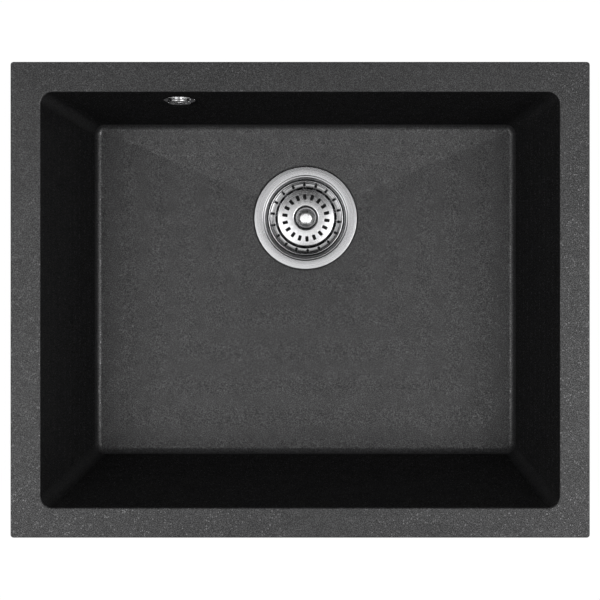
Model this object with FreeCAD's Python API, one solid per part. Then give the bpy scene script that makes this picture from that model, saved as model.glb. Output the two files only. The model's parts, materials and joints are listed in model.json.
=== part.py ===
import FreeCAD
import Part
import math
import os

# Composite kitchen sink for a worktop, with a basket strainer waste, an overflow and swing clamps.
# Millimetres. The origin is the centre of the bowl's mouth on the plane that the rim rests on,
# +X to the right, +Y to the rear, +Z up.

# Rim
RIM_LENGTH = 560.0
RIM_WIDTH = 460.0
RIM_THICKNESS = 8.0
RIM_BORDER = 29.0
RIM_CORNER_RADIUS = 3.0
RIM_EDGE_RADIUS = 1.2
MOUTH_EDGE_RADIUS = 1.2

# Bowl
BOWL_DEPTH = 192.0
WALL_DRAFT_DEG = 6.3
BOWL_CORNER_RADIUS = 12.0
BOWL_FOOT_RADIUS = 7.0
WALL = 8.5
FLOOR_THICKNESS = 9.0
FLOOR_FALL = 6.0
DRAIN_SETBACK = 78.0

# Drain seat in the floor
DRAIN_HOLE_GAP = 1.4
SEAT_GAP = 1.0
SEAT_FLOOR = 9.5
DRAIN_BOSS_WALL = 5.0

# Strainer body, pressed sheet
SHEET = 1.0
SHEET_BEND = 0.7
THROAT_RADIUS = 42.6
THROAT_FLARE = 2.2
THROAT_ROUNDING = 2.4
THROAT_DEPTH = 15.0
LEDGE_WIDTH = 1.4
LEDGE_STEP = 0.8
FLANGE_WIDTH = 10.0
FLANGE_LIP_WIDTH = 0.6
FLANGE_LIP_DROP = 0.8
STRAINER_DEPTH = 40.0
STRAINER_KNEE_INSET = 5.6
STRAINER_KNEE_DEPTH = 30.0
STRAINER_FLOOR_INSET = 6.0
OUTLET_SLOT_COUNT = 6
OUTLET_SLOT_INNER = 11.5
OUTLET_SLOT_OUTER = 21.0
OUTLET_SLOT_ANGLE_DEG = 44.0

# Gaskets of the waste
FLANGE_GASKET = 1.5
WASTE_GASKET = 2.5
GASKET_EDGE_GAP = 1.5

# Waste bolt and its nut
BOLT_RADIUS = 4.0
BOLT_HEAD_RADIUS = 6.0
BOLT_HEAD_HEIGHT = 3.5
BOLT_SLOT_WIDTH = 1.4
BOLT_SLOT_DEPTH = 1.6
BOLT_CLEARANCE = 0.25
NUT_ACROSS_FLATS = 13.0
NUT_HEIGHT = 6.5
NUT_POCKET_GAP = 0.1
BOLT_PROTRUSION = 2.5

# Basket, pressed sheet with punched openings
BASKET_SHEET = 0.8
BASKET_BEND = 0.5
BASKET_GAP = 1.0
BASKET_RIM_WIDTH = 1.5
BASKET_RIM_LIP = 1.2
BASKET_SUNK = 5.0
BASKET_SHOULDER_INSET = 1.4
BASKET_SHOULDER_DEPTH = 8.5
CHANNEL_INSET = 0.7
CHANNEL_WIDTH = 3.8
CHANNEL_DEPTH = 14.5
PLATEAU_INSET = 2.9
PLATEAU_EDGE_DEPTH = 9.0
PLATEAU_RISE = 1.2
WELL_RADIUS = 13.3
WELL_TAPER = 1.7
WELL_DEPTH = 6.0
BASKET_HOLES_AROUND = 18
BASKET_TURN_DEG = 12.9
SLOT_EDGE_GAP = 4.8
SLOT_LENGTH = 6.0
SLOT_WIDTH = 3.6
DASH_EDGE_GAP = 0.3
DASH_WIDTH = 2.6
DASH_ANGLE_DEG = 13.2
DOT_RADIUS = 1.6
DOT_INSET = 2.3

# Knob, stem, catch and plug
STEM_RADIUS = 3.0
STEM_CLEARANCE = 0.1
KNOB_RADIUS = 9.3
KNOB_TOP_RADIUS = 5.6
KNOB_NECK_RADIUS = 4.6
KNOB_HEIGHT = 10.5
KNOB_HEAD_HEIGHT = 4.6
KNOB_ROUNDING = 1.3
KNOB_TOP_ROUNDING = 6.0
SOCKET_RADIUS = 8.1
SOCKET_WALL = 2.2
SOCKET_DEPTH = 6.5
SOCKET_LIP = 0.9
SOCKET_LIP_WIDTH = 1.2
CATCH_GAP = 0.25
CATCH_SLIT = 1.6
PLUG_RADIUS = 26.5
PLUG_THICKNESS = 3.0
PLUG_LIP_REACH = 2.0
PLUG_LIP_DROP = 1.6
PLUG_LIP_WIDTH = 2.2
SEATED_GAP = 0.3
BACKING_RADIUS = 15.0
BACKING_THICKNESS = 2.0

# Waste body, moulded
MOULD_WALL = 3.0
WASTE_CUP_GAP = 3.2
WASTE_FLANGE_WIDTH = 13.2
WASTE_FLANGE_THICKNESS = 4.0
WASTE_CUP_DEPTH = 40.0
WASTE_CONE_HEIGHT = 16.0
OUTLET_RADIUS = 23.9
OUTLET_WALL = 4.4
OUTLET_LENGTH = 24.0
OUTLET_COLLAR_WIDTH = 3.0
OUTLET_COLLAR_HEIGHT = 4.0
HUB_RADIUS = 10.5
HUB_GAP = 0.3
HUB_LENGTH = 28.0
HUB_RIB_COUNT = 3
HUB_RIB_WIDTH = 3.0
WASTE_RIB_COUNT = 12
WASTE_RIB_WIDTH = 2.4
WASTE_RIB_DEPTH = 2.2

# Overflow
OVERFLOW_SIDE = 120.5
OVERFLOW_DROP = 35.0
OVERFLOW_HOLE_RADIUS = 11.5
COVER_RADIUS = 15.7
COVER_PLATE = 1.0
COVER_DRUM_RADIUS = 11.4
COVER_DRUM_HEIGHT = 2.6
COVER_WALL = 1.2
COVER_EDGE_RADIUS = 0.6
COVER_SLOT_COUNT = 8
COVER_SLOT_WIDTH = 2.2
COVER_SLOT_INNER = 5.2
COVER_SLOT_DROP = 2.3
COVER_BOSS_RADIUS = 4.4
COVER_SCREW_RADIUS = 2.5
COVER_SCREW_HEAD_RADIUS = 4.0
COVER_SCREW_HEAD = 1.6
COVER_SCREW_SLOT = 1.0
COVER_SCREW_CLEARANCE = 0.1
OVERFLOW_GASKET = 1.8
ELBOW_FLANGE_RADIUS = 23.0
ELBOW_FLANGE = 3.0
ELBOW_WALL = 2.2
ELBOW_CHAMBER_RADIUS = 11.5
ELBOW_BOSS_RADIUS = 4.6
SPIGOT_OFFSET = 12.8
SPIGOT_RADIUS = 10.0
SPIGOT_WALL = 2.8
SPIGOT_LENGTH = 36.0

# Overflow hose and its two nuts
HOSE_BORE_RADIUS = 6.6
HOSE_WALL = 1.2
HOSE_RIB_HEIGHT = 1.4
HOSE_CUFF_LENGTH = 16.0
HOSE_RIB_PITCH = 4.5
HOSE_BEND_RADIUS = 72.0
RIB_CREST_SHARE = 0.36
RIB_FLANK_SHARE = 0.14
PORT_DROP = 22.0
PORT_GAP = 5.0
HOSE_NUT_WALL = 2.95
HOSE_NUT_LENGTH = 20.0
HOSE_NUT_OVERLAP = 11.0
HOSE_NUT_THREAD_GAP = 0.25
HOSE_NUT_SHOULDER = 3.0
HOSE_NUT_MOUTH_GAP = 0.5
HOSE_NUT_GRIPS = 12
HOSE_NUT_GRIP_RADIUS = 1.2
HOSE_SEAL_GAP = 0.2

# Swing clamps
CLAMP_CORNER_DISTANCE = 33.0
CLAMP_END_POSITION = 0.0
WORKTOP_MOST = 42.0
LUG_LENGTH = 22.0
LUG_HEIGHT = 22.0
LUG_EDGE = 6.4
LUG_EDGE_RADIUS = 2.0
CLAMP_PLATE = 2.5
CLAMP_WIDTH = 12.0
CLAMP_REACH = 24.0
CLAMP_WALL_GAP = 0.8
CLAMP_PLAY = 0.2
CLAMP_PIVOT_CLEARANCE = 0.2
CLAMP_NOTCH_SHARE = 0.18
SCREW_RADIUS = 2.5
SCREW_ENGAGEMENT = 10.0
SCREW_HEAD_FLATS = 8.0
SCREW_HEAD_HEIGHT = 3.5
SCREW_WASHER_REACH = 2.7
SCREW_WASHER = 1.0
INSERT_WALL = 1.05
INSERT_LENGTH = 12.0
INSERT_CLEARANCE = 0.05

OVERRUN = 1.0
NEAR = 10 * Part.Precision.confusion()

# Levels and places that follow from the sizes above
DRAFT = math.tan(math.radians(WALL_DRAFT_DEG))
MOUTH_HALF_X = RIM_LENGTH / 2 - RIM_BORDER
MOUTH_HALF_Y = RIM_WIDTH / 2 - RIM_BORDER
LEDGE_RADIUS = THROAT_RADIUS + THROAT_FLARE
FLANGE_INNER_RADIUS = LEDGE_RADIUS + LEDGE_WIDTH + LEDGE_STEP
FLANGE_RADIUS = FLANGE_INNER_RADIUS + FLANGE_WIDTH
DRAIN_HOLE_RADIUS = THROAT_RADIUS + SHEET + DRAIN_HOLE_GAP
STRAINER_KNEE_RADIUS = THROAT_RADIUS - STRAINER_KNEE_INSET
STRAINER_FLOOR_RADIUS = STRAINER_KNEE_RADIUS - STRAINER_FLOOR_INSET
BASKET_RIM_RADIUS = THROAT_RADIUS - BASKET_GAP
BASKET_SHOULDER_RADIUS = BASKET_RIM_RADIUS - BASKET_RIM_WIDTH - BASKET_SHOULDER_INSET
CHANNEL_OUTER_RADIUS = BASKET_SHOULDER_RADIUS - CHANNEL_INSET
CHANNEL_INNER_RADIUS = CHANNEL_OUTER_RADIUS - CHANNEL_WIDTH
PLATEAU_RADIUS = CHANNEL_INNER_RADIUS - PLATEAU_INSET
WELL_FLOOR_RADIUS = WELL_RADIUS - WELL_TAPER
SLOT_OUTER_RADIUS = PLATEAU_RADIUS - SLOT_EDGE_GAP
SLOT_INNER_RADIUS = SLOT_OUTER_RADIUS - SLOT_LENGTH
DASH_INNER_RADIUS = PLATEAU_RADIUS + DASH_EDGE_GAP
DASH_OUTER_RADIUS = DASH_INNER_RADIUS + DASH_WIDTH
DOT_CIRCLE_RADIUS = BASKET_SHOULDER_RADIUS - DOT_INSET
SOCKET_LIP_RADIUS = SOCKET_RADIUS - SOCKET_LIP_WIDTH
PLUG_LIP_RADIUS = PLUG_RADIUS + PLUG_LIP_REACH
WASTE_CUP_RADIUS = THROAT_RADIUS + SHEET + WASTE_CUP_GAP
WASTE_FLANGE_RADIUS = WASTE_CUP_RADIUS + WASTE_FLANGE_WIDTH
DRAIN_BOSS_RADIUS = max(FLANGE_RADIUS + SEAT_GAP + DRAIN_BOSS_WALL, WASTE_FLANGE_RADIUS)
OUTLET_BORE_RADIUS = OUTLET_RADIUS - OUTLET_WALL
SPIGOT_BORE_RADIUS = SPIGOT_RADIUS - SPIGOT_WALL
HOSE_ROOT_RADIUS = HOSE_BORE_RADIUS + HOSE_WALL
HOSE_CREST_RADIUS = HOSE_ROOT_RADIUS + HOSE_RIB_HEIGHT
HOSE_NUT_RADIUS = SPIGOT_RADIUS + HOSE_NUT_THREAD_GAP + HOSE_NUT_WALL
PORT_REACH = WASTE_FLANGE_RADIUS + HOSE_NUT_OVERLAP + PORT_GAP
CLAMP_SIDE_POSITION = MOUTH_HALF_X - CLAMP_CORNER_DISTANCE
SCREW_WASHER_RADIUS = SCREW_RADIUS + SCREW_WASHER_REACH
INSERT_RADIUS = SCREW_RADIUS + INSERT_CLEARANCE + INSERT_WALL
FLOOR_EDGE_Z = RIM_THICKNESS - BOWL_DEPTH
FLANGE_TOP_Z = FLOOR_EDGE_Z - FLOOR_FALL
SEAT_Z = FLANGE_TOP_Z - SHEET - FLANGE_GASKET
UNDERSIDE_Z = SEAT_Z - SEAT_FLOOR
WASTE_TOP_Z = UNDERSIDE_Z - WASTE_GASKET
STRAINER_FLOOR_Z = FLANGE_TOP_Z - STRAINER_DEPTH
BASKET_TOP_Z = FLANGE_TOP_Z - BASKET_SUNK
PLATEAU_Z = BASKET_TOP_Z - PLATEAU_EDGE_DEPTH
WELL_TOP_Z = PLATEAU_Z + PLATEAU_RISE
WELL_FLOOR_Z = WELL_TOP_Z - WELL_DEPTH
WASTE_CUP_FLOOR_Z = WASTE_TOP_Z - WASTE_CUP_DEPTH
OUTLET_TOP_Z = WASTE_CUP_FLOOR_Z - WASTE_CONE_HEIGHT
OUTLET_END_Z = OUTLET_TOP_Z - OUTLET_COLLAR_HEIGHT - OUTLET_LENGTH
HUB_TOP_Z = STRAINER_FLOOR_Z - SHEET - HUB_GAP
PORT_Z = WASTE_TOP_Z - PORT_DROP
LUG_TOP_Z = -WORKTOP_MOST
LUG_BOTTOM_Z = LUG_TOP_Z - LUG_HEIGHT
OVERFLOW_Z = RIM_THICKNESS - OVERFLOW_DROP


def vec(x, y, z):
    return FreeCAD.Vector(x, y, z)


UP = vec(0, 0, 1)


def wall_half(half_at_mouth, z):
    """Half size of a drafted wall at height z, from its half size at the rim's top."""
    return half_at_mouth - (RIM_THICKNESS - z) * DRAFT


def polyhedron(faces):
    """Solid from flat faces, each a list of corner points."""
    made = [Part.Face(Part.makePolygon(list(f) + [f[0]])) for f in faces]
    return Part.makeSolid(Part.makeShell(made))


def rectangle(half_x, half_y, z):
    return [
        vec(-half_x, -half_y, z),
        vec(half_x, -half_y, z),
        vec(half_x, half_y, z),
        vec(-half_x, half_y, z),
    ]


def cylinder(radius, z_low, z_high, x=0.0, y=0.0):
    return Part.makeCylinder(radius, z_high - z_low, vec(x, y, z_low))


def on_drain(shape):
    """Moves a shape made about the Z axis to the drain's axis."""
    return shape.translated(vec(0, DRAIN_SETBACK, 0))


def turned_about(shape, angle_deg):
    moved = shape.copy()
    moved.rotate(vec(0, 0, 0), UP, angle_deg)
    return moved


def around(shape, count, first_deg=0.0):
    """Copies of a shape, evenly round the Z axis, as one compound."""
    step = 360.0 / count
    return Part.makeCompound([turned_about(shape, first_deg + i * step) for i in range(count)])


def hexagon_prism(across_flats, z_low, z_high, x=0.0, y=0.0):
    corner = across_flats / math.sqrt(3)
    points = [
        vec(x + corner * math.cos(math.pi * i / 3), y + corner * math.sin(math.pi * i / 3), z_low)
        for i in range(6)
    ]
    return Part.Face(Part.makePolygon(points + [points[0]])).extrude(vec(0, 0, z_high - z_low))


def corner_arc(before, corner, after, radius):
    """Ends and middle of the arc that rounds a corner between two straight runs."""
    towards_before = (before - corner).normalize()
    towards_after = (after - corner).normalize()
    half = towards_before.getAngle(towards_after) / 2
    reach = radius / math.tan(half)
    middle = (towards_before + towards_after).normalize()
    centre = corner + middle * (radius / math.sin(half))
    return corner + towards_before * reach, centre - middle * radius, corner + towards_after * reach


def rounded_wire(points, radii, closed):
    """Wire of straight runs whose corners are tangent arcs of the given radii."""
    count = len(points)
    stops = []
    for i, point in enumerate(points):
        inner = closed or 0 < i < count - 1
        if inner and radii[i] > 0:
            stops.append(corner_arc(points[i - 1], point, points[(i + 1) % count], radii[i]))
        else:
            stops.append((point, None, point))
    edges = []
    for i in range(count if closed else count - 1):
        start, end = stops[i][2], stops[(i + 1) % count][0]
        if start.distanceToPoint(end) > Part.Precision.confusion():
            edges.append(Part.LineSegment(start, end).toShape())
        first, middle, last = stops[(i + 1) % count]
        if middle is not None:
            edges.append(Part.Arc(first, middle, last).toShape())
    return Part.Wire(Part.__sortEdges__(edges))


def parallel(points, gap):
    """The open polyline (r, z) moved sideways by gap, to its left as it runs, with mitred corners."""
    moved = []
    for i in range(len(points)):
        before, here = points[max(i - 1, 0)], points[i]
        after = points[min(i + 1, len(points) - 1)]
        into = (here - before) if i > 0 else (after - here)
        out = (after - here) if i < len(points) - 1 else into
        left_in = vec(-into.z, 0, into.x).normalize()
        left_out = vec(-out.z, 0, out.x).normalize()
        side = (left_in + left_out).normalize()
        moved.append(here + side * (gap / side.dot(left_in)))
    return moved


def turned_sheet(profile, thickness, bend):
    """Pressed sheet of revolution: profile is (r, z) along its upper side, from the outside inwards.

    The sheet lies on the left of the profile as it runs. Corners have the bend radius on their
    inner side and the bend radius plus the thickness on their outer side.
    """
    near = [vec(r, 0, z) for r, z in profile]
    far = parallel(near, thickness)
    near_radii, far_radii = [0.0], [0.0]
    for i in range(1, len(near) - 1):
        into, out = near[i] - near[i - 1], near[i + 1] - near[i]
        turns_left = into.x * out.z - into.z * out.x > 0
        near_radii.append(bend + thickness if turns_left else bend)
        far_radii.append(bend if turns_left else bend + thickness)
    near_radii.append(0.0)
    far_radii.append(0.0)
    outline = rounded_wire(near + far[::-1], near_radii + far_radii[::-1], True)
    return Part.Face(outline).revolve(vec(0, 0, 0), UP, 360)


def turned(profile, radii=None):
    """Solid of revolution about Z of a closed outline of (r, z) points."""
    points = [vec(r, 0, z) for r, z in profile]
    outline = rounded_wire(points, radii or [0.0] * len(points), True)
    return Part.Face(outline).revolve(vec(0, 0, 0), UP, 360)


def ring_sector(inner, outer, angle_deg, z_low, z_high):
    """Part of a ring, centred on the X axis and angle_deg wide."""
    half = math.radians(angle_deg / 2)

    def at(radius, angle):
        return vec(radius * math.cos(angle), radius * math.sin(angle), z_low)

    edges = [
        Part.Arc(at(outer, -half), at(outer, 0), at(outer, half)).toShape(),
        Part.LineSegment(at(outer, half), at(inner, half)).toShape(),
        Part.Arc(at(inner, half), at(inner, 0), at(inner, -half)).toShape(),
        Part.LineSegment(at(inner, -half), at(outer, -half)).toShape(),
    ]
    return Part.Face(Part.Wire(edges)).extrude(vec(0, 0, z_high - z_low))


def radial_box(inner, outer, width, z_low, z_high):
    return Part.makeBox(outer - inner, width, z_high - z_low, vec(inner, -width / 2, z_low))


# Bowl casting


def bowl_form(half_x, half_y, z_high, z_low, corner_radius, foot_radius):
    """Drafted box with rounded upright corners and a rounded bottom edge, and its flat's half sizes.

    half_x and half_y are the half sizes at the rim's top.
    """
    top = rectangle(wall_half(half_x, z_high), wall_half(half_y, z_high), z_high)
    low_x, low_y = wall_half(half_x, z_low), wall_half(half_y, z_low)
    low = rectangle(low_x, low_y, z_low)
    sides = [[low[i], low[(i + 1) % 4], top[(i + 1) % 4], top[i]] for i in range(4)]
    block = polyhedron([top, low[::-1]] + sides)
    middle = (z_high + z_low) / 2
    upright = [e for e in block.Edges if e.BoundBox.ZMin < middle < e.BoundBox.ZMax]
    block = block.makeFillet(corner_radius, upright)
    foot = [e for e in block.Edges if e.BoundBox.ZMax < middle]
    take = foot_radius * math.tan(math.radians(90 - WALL_DRAFT_DEG) / 2)
    return block.makeFillet(foot_radius, foot), low_x - take, low_y - take


def fall_to_drain(half_x, half_y, z):
    """Shallow upside-down pyramid from a flat's four edges to the drain, with a slab above it."""
    low = rectangle(half_x, half_y, z)
    top = rectangle(half_x, half_y, z + OVERRUN)
    point = vec(0, DRAIN_SETBACK, z - FLOOR_FALL)
    sides = [[low[i], low[(i + 1) % 4], top[(i + 1) % 4], top[i]] for i in range(4)]
    slopes = [[low[(i + 1) % 4], low[i], point] for i in range(4)]
    return polyhedron([top] + sides + slopes)


def rim_slab():
    slab = Part.makeBox(
        RIM_LENGTH,
        RIM_WIDTH,
        RIM_THICKNESS,
        vec(-RIM_LENGTH / 2, -RIM_WIDTH / 2, 0),
    )
    upright = [e for e in slab.Edges if abs(e.Vertexes[0].Z - e.Vertexes[1].Z) > RIM_THICKNESS / 2]
    slab = slab.makeFillet(RIM_CORNER_RADIUS, upright)
    top = [e for e in slab.Edges if min(v.Z for v in e.Vertexes) > RIM_THICKNESS / 2]
    return slab.makeFillet(RIM_EDGE_RADIUS, top)


def clamp_places():
    """Name, pivot, outward direction and stowed direction of each clamp. A quarter turn from
    stowed points the clamp outwards, under the worktop."""
    side_y = wall_half(MOUTH_HALF_Y + WALL, LUG_TOP_Z) + CLAMP_WALL_GAP + CLAMP_WIDTH / 2
    end_x = wall_half(MOUTH_HALF_X + WALL, LUG_TOP_Z) + CLAMP_WALL_GAP + CLAMP_WIDTH / 2
    spots = [
        ("clamp_front_left", -CLAMP_SIDE_POSITION, -side_y, vec(0, -1, 0)),
        ("clamp_front_right", CLAMP_SIDE_POSITION, -side_y, vec(0, -1, 0)),
        ("clamp_rear_left", -CLAMP_SIDE_POSITION, side_y, vec(0, 1, 0)),
        ("clamp_rear_right", CLAMP_SIDE_POSITION, side_y, vec(0, 1, 0)),
        ("clamp_left", -end_x, CLAMP_END_POSITION, vec(-1, 0, 0)),
        ("clamp_right", end_x, CLAMP_END_POSITION, vec(1, 0, 0)),
    ]
    return [(name, vec(x, y, 0), out, vec(out.y, -out.x, 0)) for name, x, y, out in spots]


def facing(shape, pivot, out):
    """Turns a shape made at the origin, facing +X, to face out, and moves it to the pivot."""
    return turned_about(shape, math.degrees(math.atan2(out.y, out.x))).translated(pivot)


def clamp_lug():
    """Moulded block that carries a clamp, reaching back into the wall."""
    inward = CLAMP_WIDTH / 2 + CLAMP_WALL_GAP + WALL / 2 + LUG_HEIGHT * DRAFT
    block = Part.makeBox(
        inward + LUG_EDGE,
        LUG_LENGTH,
        LUG_HEIGHT,
        vec(-inward, -LUG_LENGTH / 2, LUG_BOTTOM_Z),
    )
    outer = [
        e
        for e in block.Edges
        if min(v.X for v in e.Vertexes) > 0 and abs(e.Vertexes[0].Z - e.Vertexes[1].Z) > OVERRUN
    ]
    return block.makeFillet(LUG_EDGE_RADIUS, outer)


def sink_bowl():
    outer, outer_x, outer_y = bowl_form(
        MOUTH_HALF_X + WALL,
        MOUTH_HALF_Y + WALL,
        RIM_THICKNESS / 2,
        FLOOR_EDGE_Z - FLOOR_THICKNESS,
        BOWL_CORNER_RADIUS + WALL,
        BOWL_FOOT_RADIUS + WALL,
    )
    inner, inner_x, inner_y = bowl_form(
        MOUTH_HALF_X,
        MOUTH_HALF_Y,
        RIM_THICKNESS + OVERRUN,
        FLOOR_EDGE_Z,
        BOWL_CORNER_RADIUS,
        BOWL_FOOT_RADIUS,
    )
    boss = on_drain(cylinder(DRAIN_BOSS_RADIUS, UNDERSIDE_Z, FLOOR_EDGE_Z - FLOOR_THICKNESS / 2))
    lugs = [facing(clamp_lug(), pivot, out) for _, pivot, out, _ in clamp_places()]
    under_fall = fall_to_drain(outer_x, outer_y, FLOOR_EDGE_Z - FLOOR_THICKNESS)
    body = rim_slab().multiFuse([outer, under_fall, boss] + lugs)
    hole = on_drain(cylinder(DRAIN_HOLE_RADIUS, UNDERSIDE_Z - OVERRUN, FLOOR_EDGE_Z))
    seat = on_drain(cylinder(FLANGE_RADIUS + SEAT_GAP, SEAT_Z, FLOOR_EDGE_Z))
    overflow = in_overflow(cylinder(OVERFLOW_HOLE_RADIUS, -WALL, WALL + OVERRUN))
    pockets = [
        facing(cylinder(INSERT_RADIUS, LUG_BOTTOM_Z - OVERRUN, LUG_BOTTOM_Z + INSERT_LENGTH), p, o)
        for _, p, o, _ in clamp_places()
    ]
    floor = fall_to_drain(inner_x, inner_y, FLOOR_EDGE_Z)
    for tool in [inner, floor, hole, seat, overflow] + pockets:
        body = body.cut(tool)
    body = body.removeSplitter()
    mouth = [
        e
        for e in body.Edges
        if min(v.Z for v in e.Vertexes) > RIM_THICKNESS - NEAR
        and max(abs(v.X) for v in e.Vertexes) < MOUTH_HALF_X + OVERRUN
        and max(abs(v.Y) for v in e.Vertexes) < MOUTH_HALF_Y + OVERRUN
    ]
    return body.makeFillet(MOUTH_EDGE_RADIUS, mouth)


# Strainer body, gaskets, bolt and waste body


def strainer_body():
    top = FLANGE_TOP_Z
    profile = [
        (FLANGE_RADIUS, top - FLANGE_LIP_DROP),
        (FLANGE_RADIUS - FLANGE_LIP_WIDTH, top),
        (FLANGE_INNER_RADIUS, top),
        (FLANGE_INNER_RADIUS - LEDGE_STEP, top - LEDGE_STEP),
        (LEDGE_RADIUS, top - LEDGE_STEP),
        (THROAT_RADIUS, top - LEDGE_STEP - THROAT_ROUNDING),
        (THROAT_RADIUS, top - THROAT_DEPTH),
        (STRAINER_KNEE_RADIUS, top - STRAINER_KNEE_DEPTH),
        (STRAINER_FLOOR_RADIUS, STRAINER_FLOOR_Z),
        (BOLT_RADIUS + BOLT_CLEARANCE, STRAINER_FLOOR_Z),
    ]
    shell = turned_sheet(profile, SHEET, SHEET_BEND)
    slot = ring_sector(
        OUTLET_SLOT_INNER,
        OUTLET_SLOT_OUTER,
        OUTLET_SLOT_ANGLE_DEG,
        STRAINER_FLOOR_Z - SHEET - OVERRUN,
        STRAINER_FLOOR_Z + OVERRUN,
    )
    return on_drain(shell.cut(around(slot, OUTLET_SLOT_COUNT)))


def flat_ring(inner, outer, z_low, z_high):
    return cylinder(outer, z_low, z_high).cut(
        cylinder(inner, z_low - OVERRUN, z_high + OVERRUN)
    )


def flange_gasket():
    inner = FLANGE_INNER_RADIUS + 2 * SHEET
    outer = FLANGE_RADIUS - GASKET_EDGE_GAP
    return on_drain(flat_ring(inner, outer, SEAT_Z, SEAT_Z + FLANGE_GASKET))


def waste_gasket():
    outer = WASTE_FLANGE_RADIUS - GASKET_EDGE_GAP
    return on_drain(flat_ring(WASTE_CUP_RADIUS, outer, WASTE_TOP_Z, UNDERSIDE_Z))


def waste_bolt():
    foot = HUB_TOP_Z - HUB_LENGTH - BOLT_PROTRUSION
    head_top = STRAINER_FLOOR_Z + BOLT_HEAD_HEIGHT
    bolt = cylinder(BOLT_RADIUS, foot, STRAINER_FLOOR_Z + OVERRUN)
    bolt = bolt.fuse(cylinder(BOLT_HEAD_RADIUS, STRAINER_FLOOR_Z, head_top))
    slot = Part.makeBox(
        2 * BOLT_HEAD_RADIUS + OVERRUN,
        BOLT_SLOT_WIDTH,
        BOLT_SLOT_DEPTH + OVERRUN,
        vec(-BOLT_HEAD_RADIUS - OVERRUN / 2, -BOLT_SLOT_WIDTH / 2, head_top - BOLT_SLOT_DEPTH),
    )
    return on_drain(bolt.cut(slot))


def waste_nut():
    low = HUB_TOP_Z - HUB_LENGTH
    nut = hexagon_prism(NUT_ACROSS_FLATS, low, low + NUT_HEIGHT)
    bore = cylinder(BOLT_RADIUS + COVER_SCREW_CLEARANCE, low - OVERRUN, low + NUT_HEIGHT + OVERRUN)
    return on_drain(nut.cut(bore))


def port_direction():
    """Level direction from the drain's axis to the foot of the overflow hose's drop."""
    foot = hose_corner()
    return (vec(foot.x, foot.y, 0) - vec(0, DRAIN_SETBACK, 0)).normalize()


def waste_body():
    cup_outer = WASTE_CUP_RADIUS + MOULD_WALL
    outside = turned([
        (0, WASTE_TOP_Z),
        (WASTE_FLANGE_RADIUS, WASTE_TOP_Z),
        (WASTE_FLANGE_RADIUS, WASTE_TOP_Z - WASTE_FLANGE_THICKNESS),
        (cup_outer, WASTE_TOP_Z - WASTE_FLANGE_THICKNESS),
        (cup_outer, WASTE_CUP_FLOOR_Z),
        (OUTLET_RADIUS + OUTLET_COLLAR_WIDTH, OUTLET_TOP_Z),
        (0, OUTLET_TOP_Z),
    ])
    hollow = turned([
        (0, WASTE_TOP_Z + OVERRUN),
        (WASTE_CUP_RADIUS, WASTE_TOP_Z + OVERRUN),
        (WASTE_CUP_RADIUS, WASTE_CUP_FLOOR_Z + MOULD_WALL),
        (OUTLET_BORE_RADIUS, OUTLET_TOP_Z),
        (OUTLET_BORE_RADIUS, OUTLET_TOP_Z - OVERRUN),
        (0, OUTLET_TOP_Z - OVERRUN),
    ])
    rib = radial_box(
        cup_outer - OVERRUN,
        cup_outer + WASTE_RIB_DEPTH,
        WASTE_RIB_WIDTH,
        WASTE_CUP_FLOOR_Z,
        WASTE_TOP_Z - WASTE_FLANGE_THICKNESS + OVERRUN,
    )
    port_angle = math.degrees(math.atan2(port_direction().y, port_direction().x))
    ribs = around(rib, WASTE_RIB_COUNT, port_angle + 180.0 / WASTE_RIB_COUNT)
    port = along_port(SPIGOT_RADIUS, WASTE_CUP_RADIUS, PORT_REACH)
    port_bore = along_port(SPIGOT_BORE_RADIUS, HUB_RADIUS * 2, PORT_REACH + OVERRUN)
    hub_low = HUB_TOP_Z - HUB_LENGTH
    hub = cylinder(HUB_RADIUS, hub_low, HUB_TOP_Z)
    web_low = OUTLET_TOP_Z + MOULD_WALL
    web = radial_box(
        BOLT_RADIUS + MOULD_WALL,
        WASTE_CUP_RADIUS + MOULD_WALL / 2,
        HUB_RIB_WIDTH,
        hub_low,
        web_low + MOULD_WALL,
    )
    webs = around(web, HUB_RIB_COUNT, port_angle + 180.0 / HUB_RIB_COUNT)
    webs = webs.common(outside)
    shell = outside.multiFuse(ribs.Solids + [on_axis(port)]).cut(hollow).cut(on_axis(port_bore))
    body = shell.multiFuse([hub] + webs.Solids)
    bolt_hole = cylinder(BOLT_RADIUS + BOLT_CLEARANCE, hub_low - OVERRUN, HUB_TOP_Z + OVERRUN)
    pocket = hexagon_prism(
        NUT_ACROSS_FLATS + 2 * NUT_POCKET_GAP,
        hub_low - OVERRUN,
        hub_low + NUT_HEIGHT,
    )
    return on_drain(body.cut(bolt_hole).cut(pocket).removeSplitter())


def waste_tail():
    """Tail of the waste for the siphon's nut, with the collar that is welded under the cone."""
    collar_low = OUTLET_TOP_Z - OUTLET_COLLAR_HEIGHT
    tail = cylinder(OUTLET_RADIUS, OUTLET_END_Z, OUTLET_TOP_Z)
    tail = tail.fuse(cylinder(OUTLET_RADIUS + OUTLET_COLLAR_WIDTH, collar_low, OUTLET_TOP_Z))
    bore = cylinder(OUTLET_BORE_RADIUS, OUTLET_END_Z - OVERRUN, OUTLET_TOP_Z + OVERRUN)
    return on_drain(tail.cut(bore))


def on_axis(shape):
    """Moves a shape from the drain's axis to the Z axis."""
    return shape.translated(vec(0, -DRAIN_SETBACK, 0))


def along_port(radius, start, end):
    """Cylinder on the port's axis, from start to end as measured from the drain's axis."""
    direction = port_direction()
    base = vec(0, DRAIN_SETBACK, PORT_Z) + direction * start
    return Part.makeCylinder(radius, end - start, base, direction)


# Basket with its knob, stem, plug and catch


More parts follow.
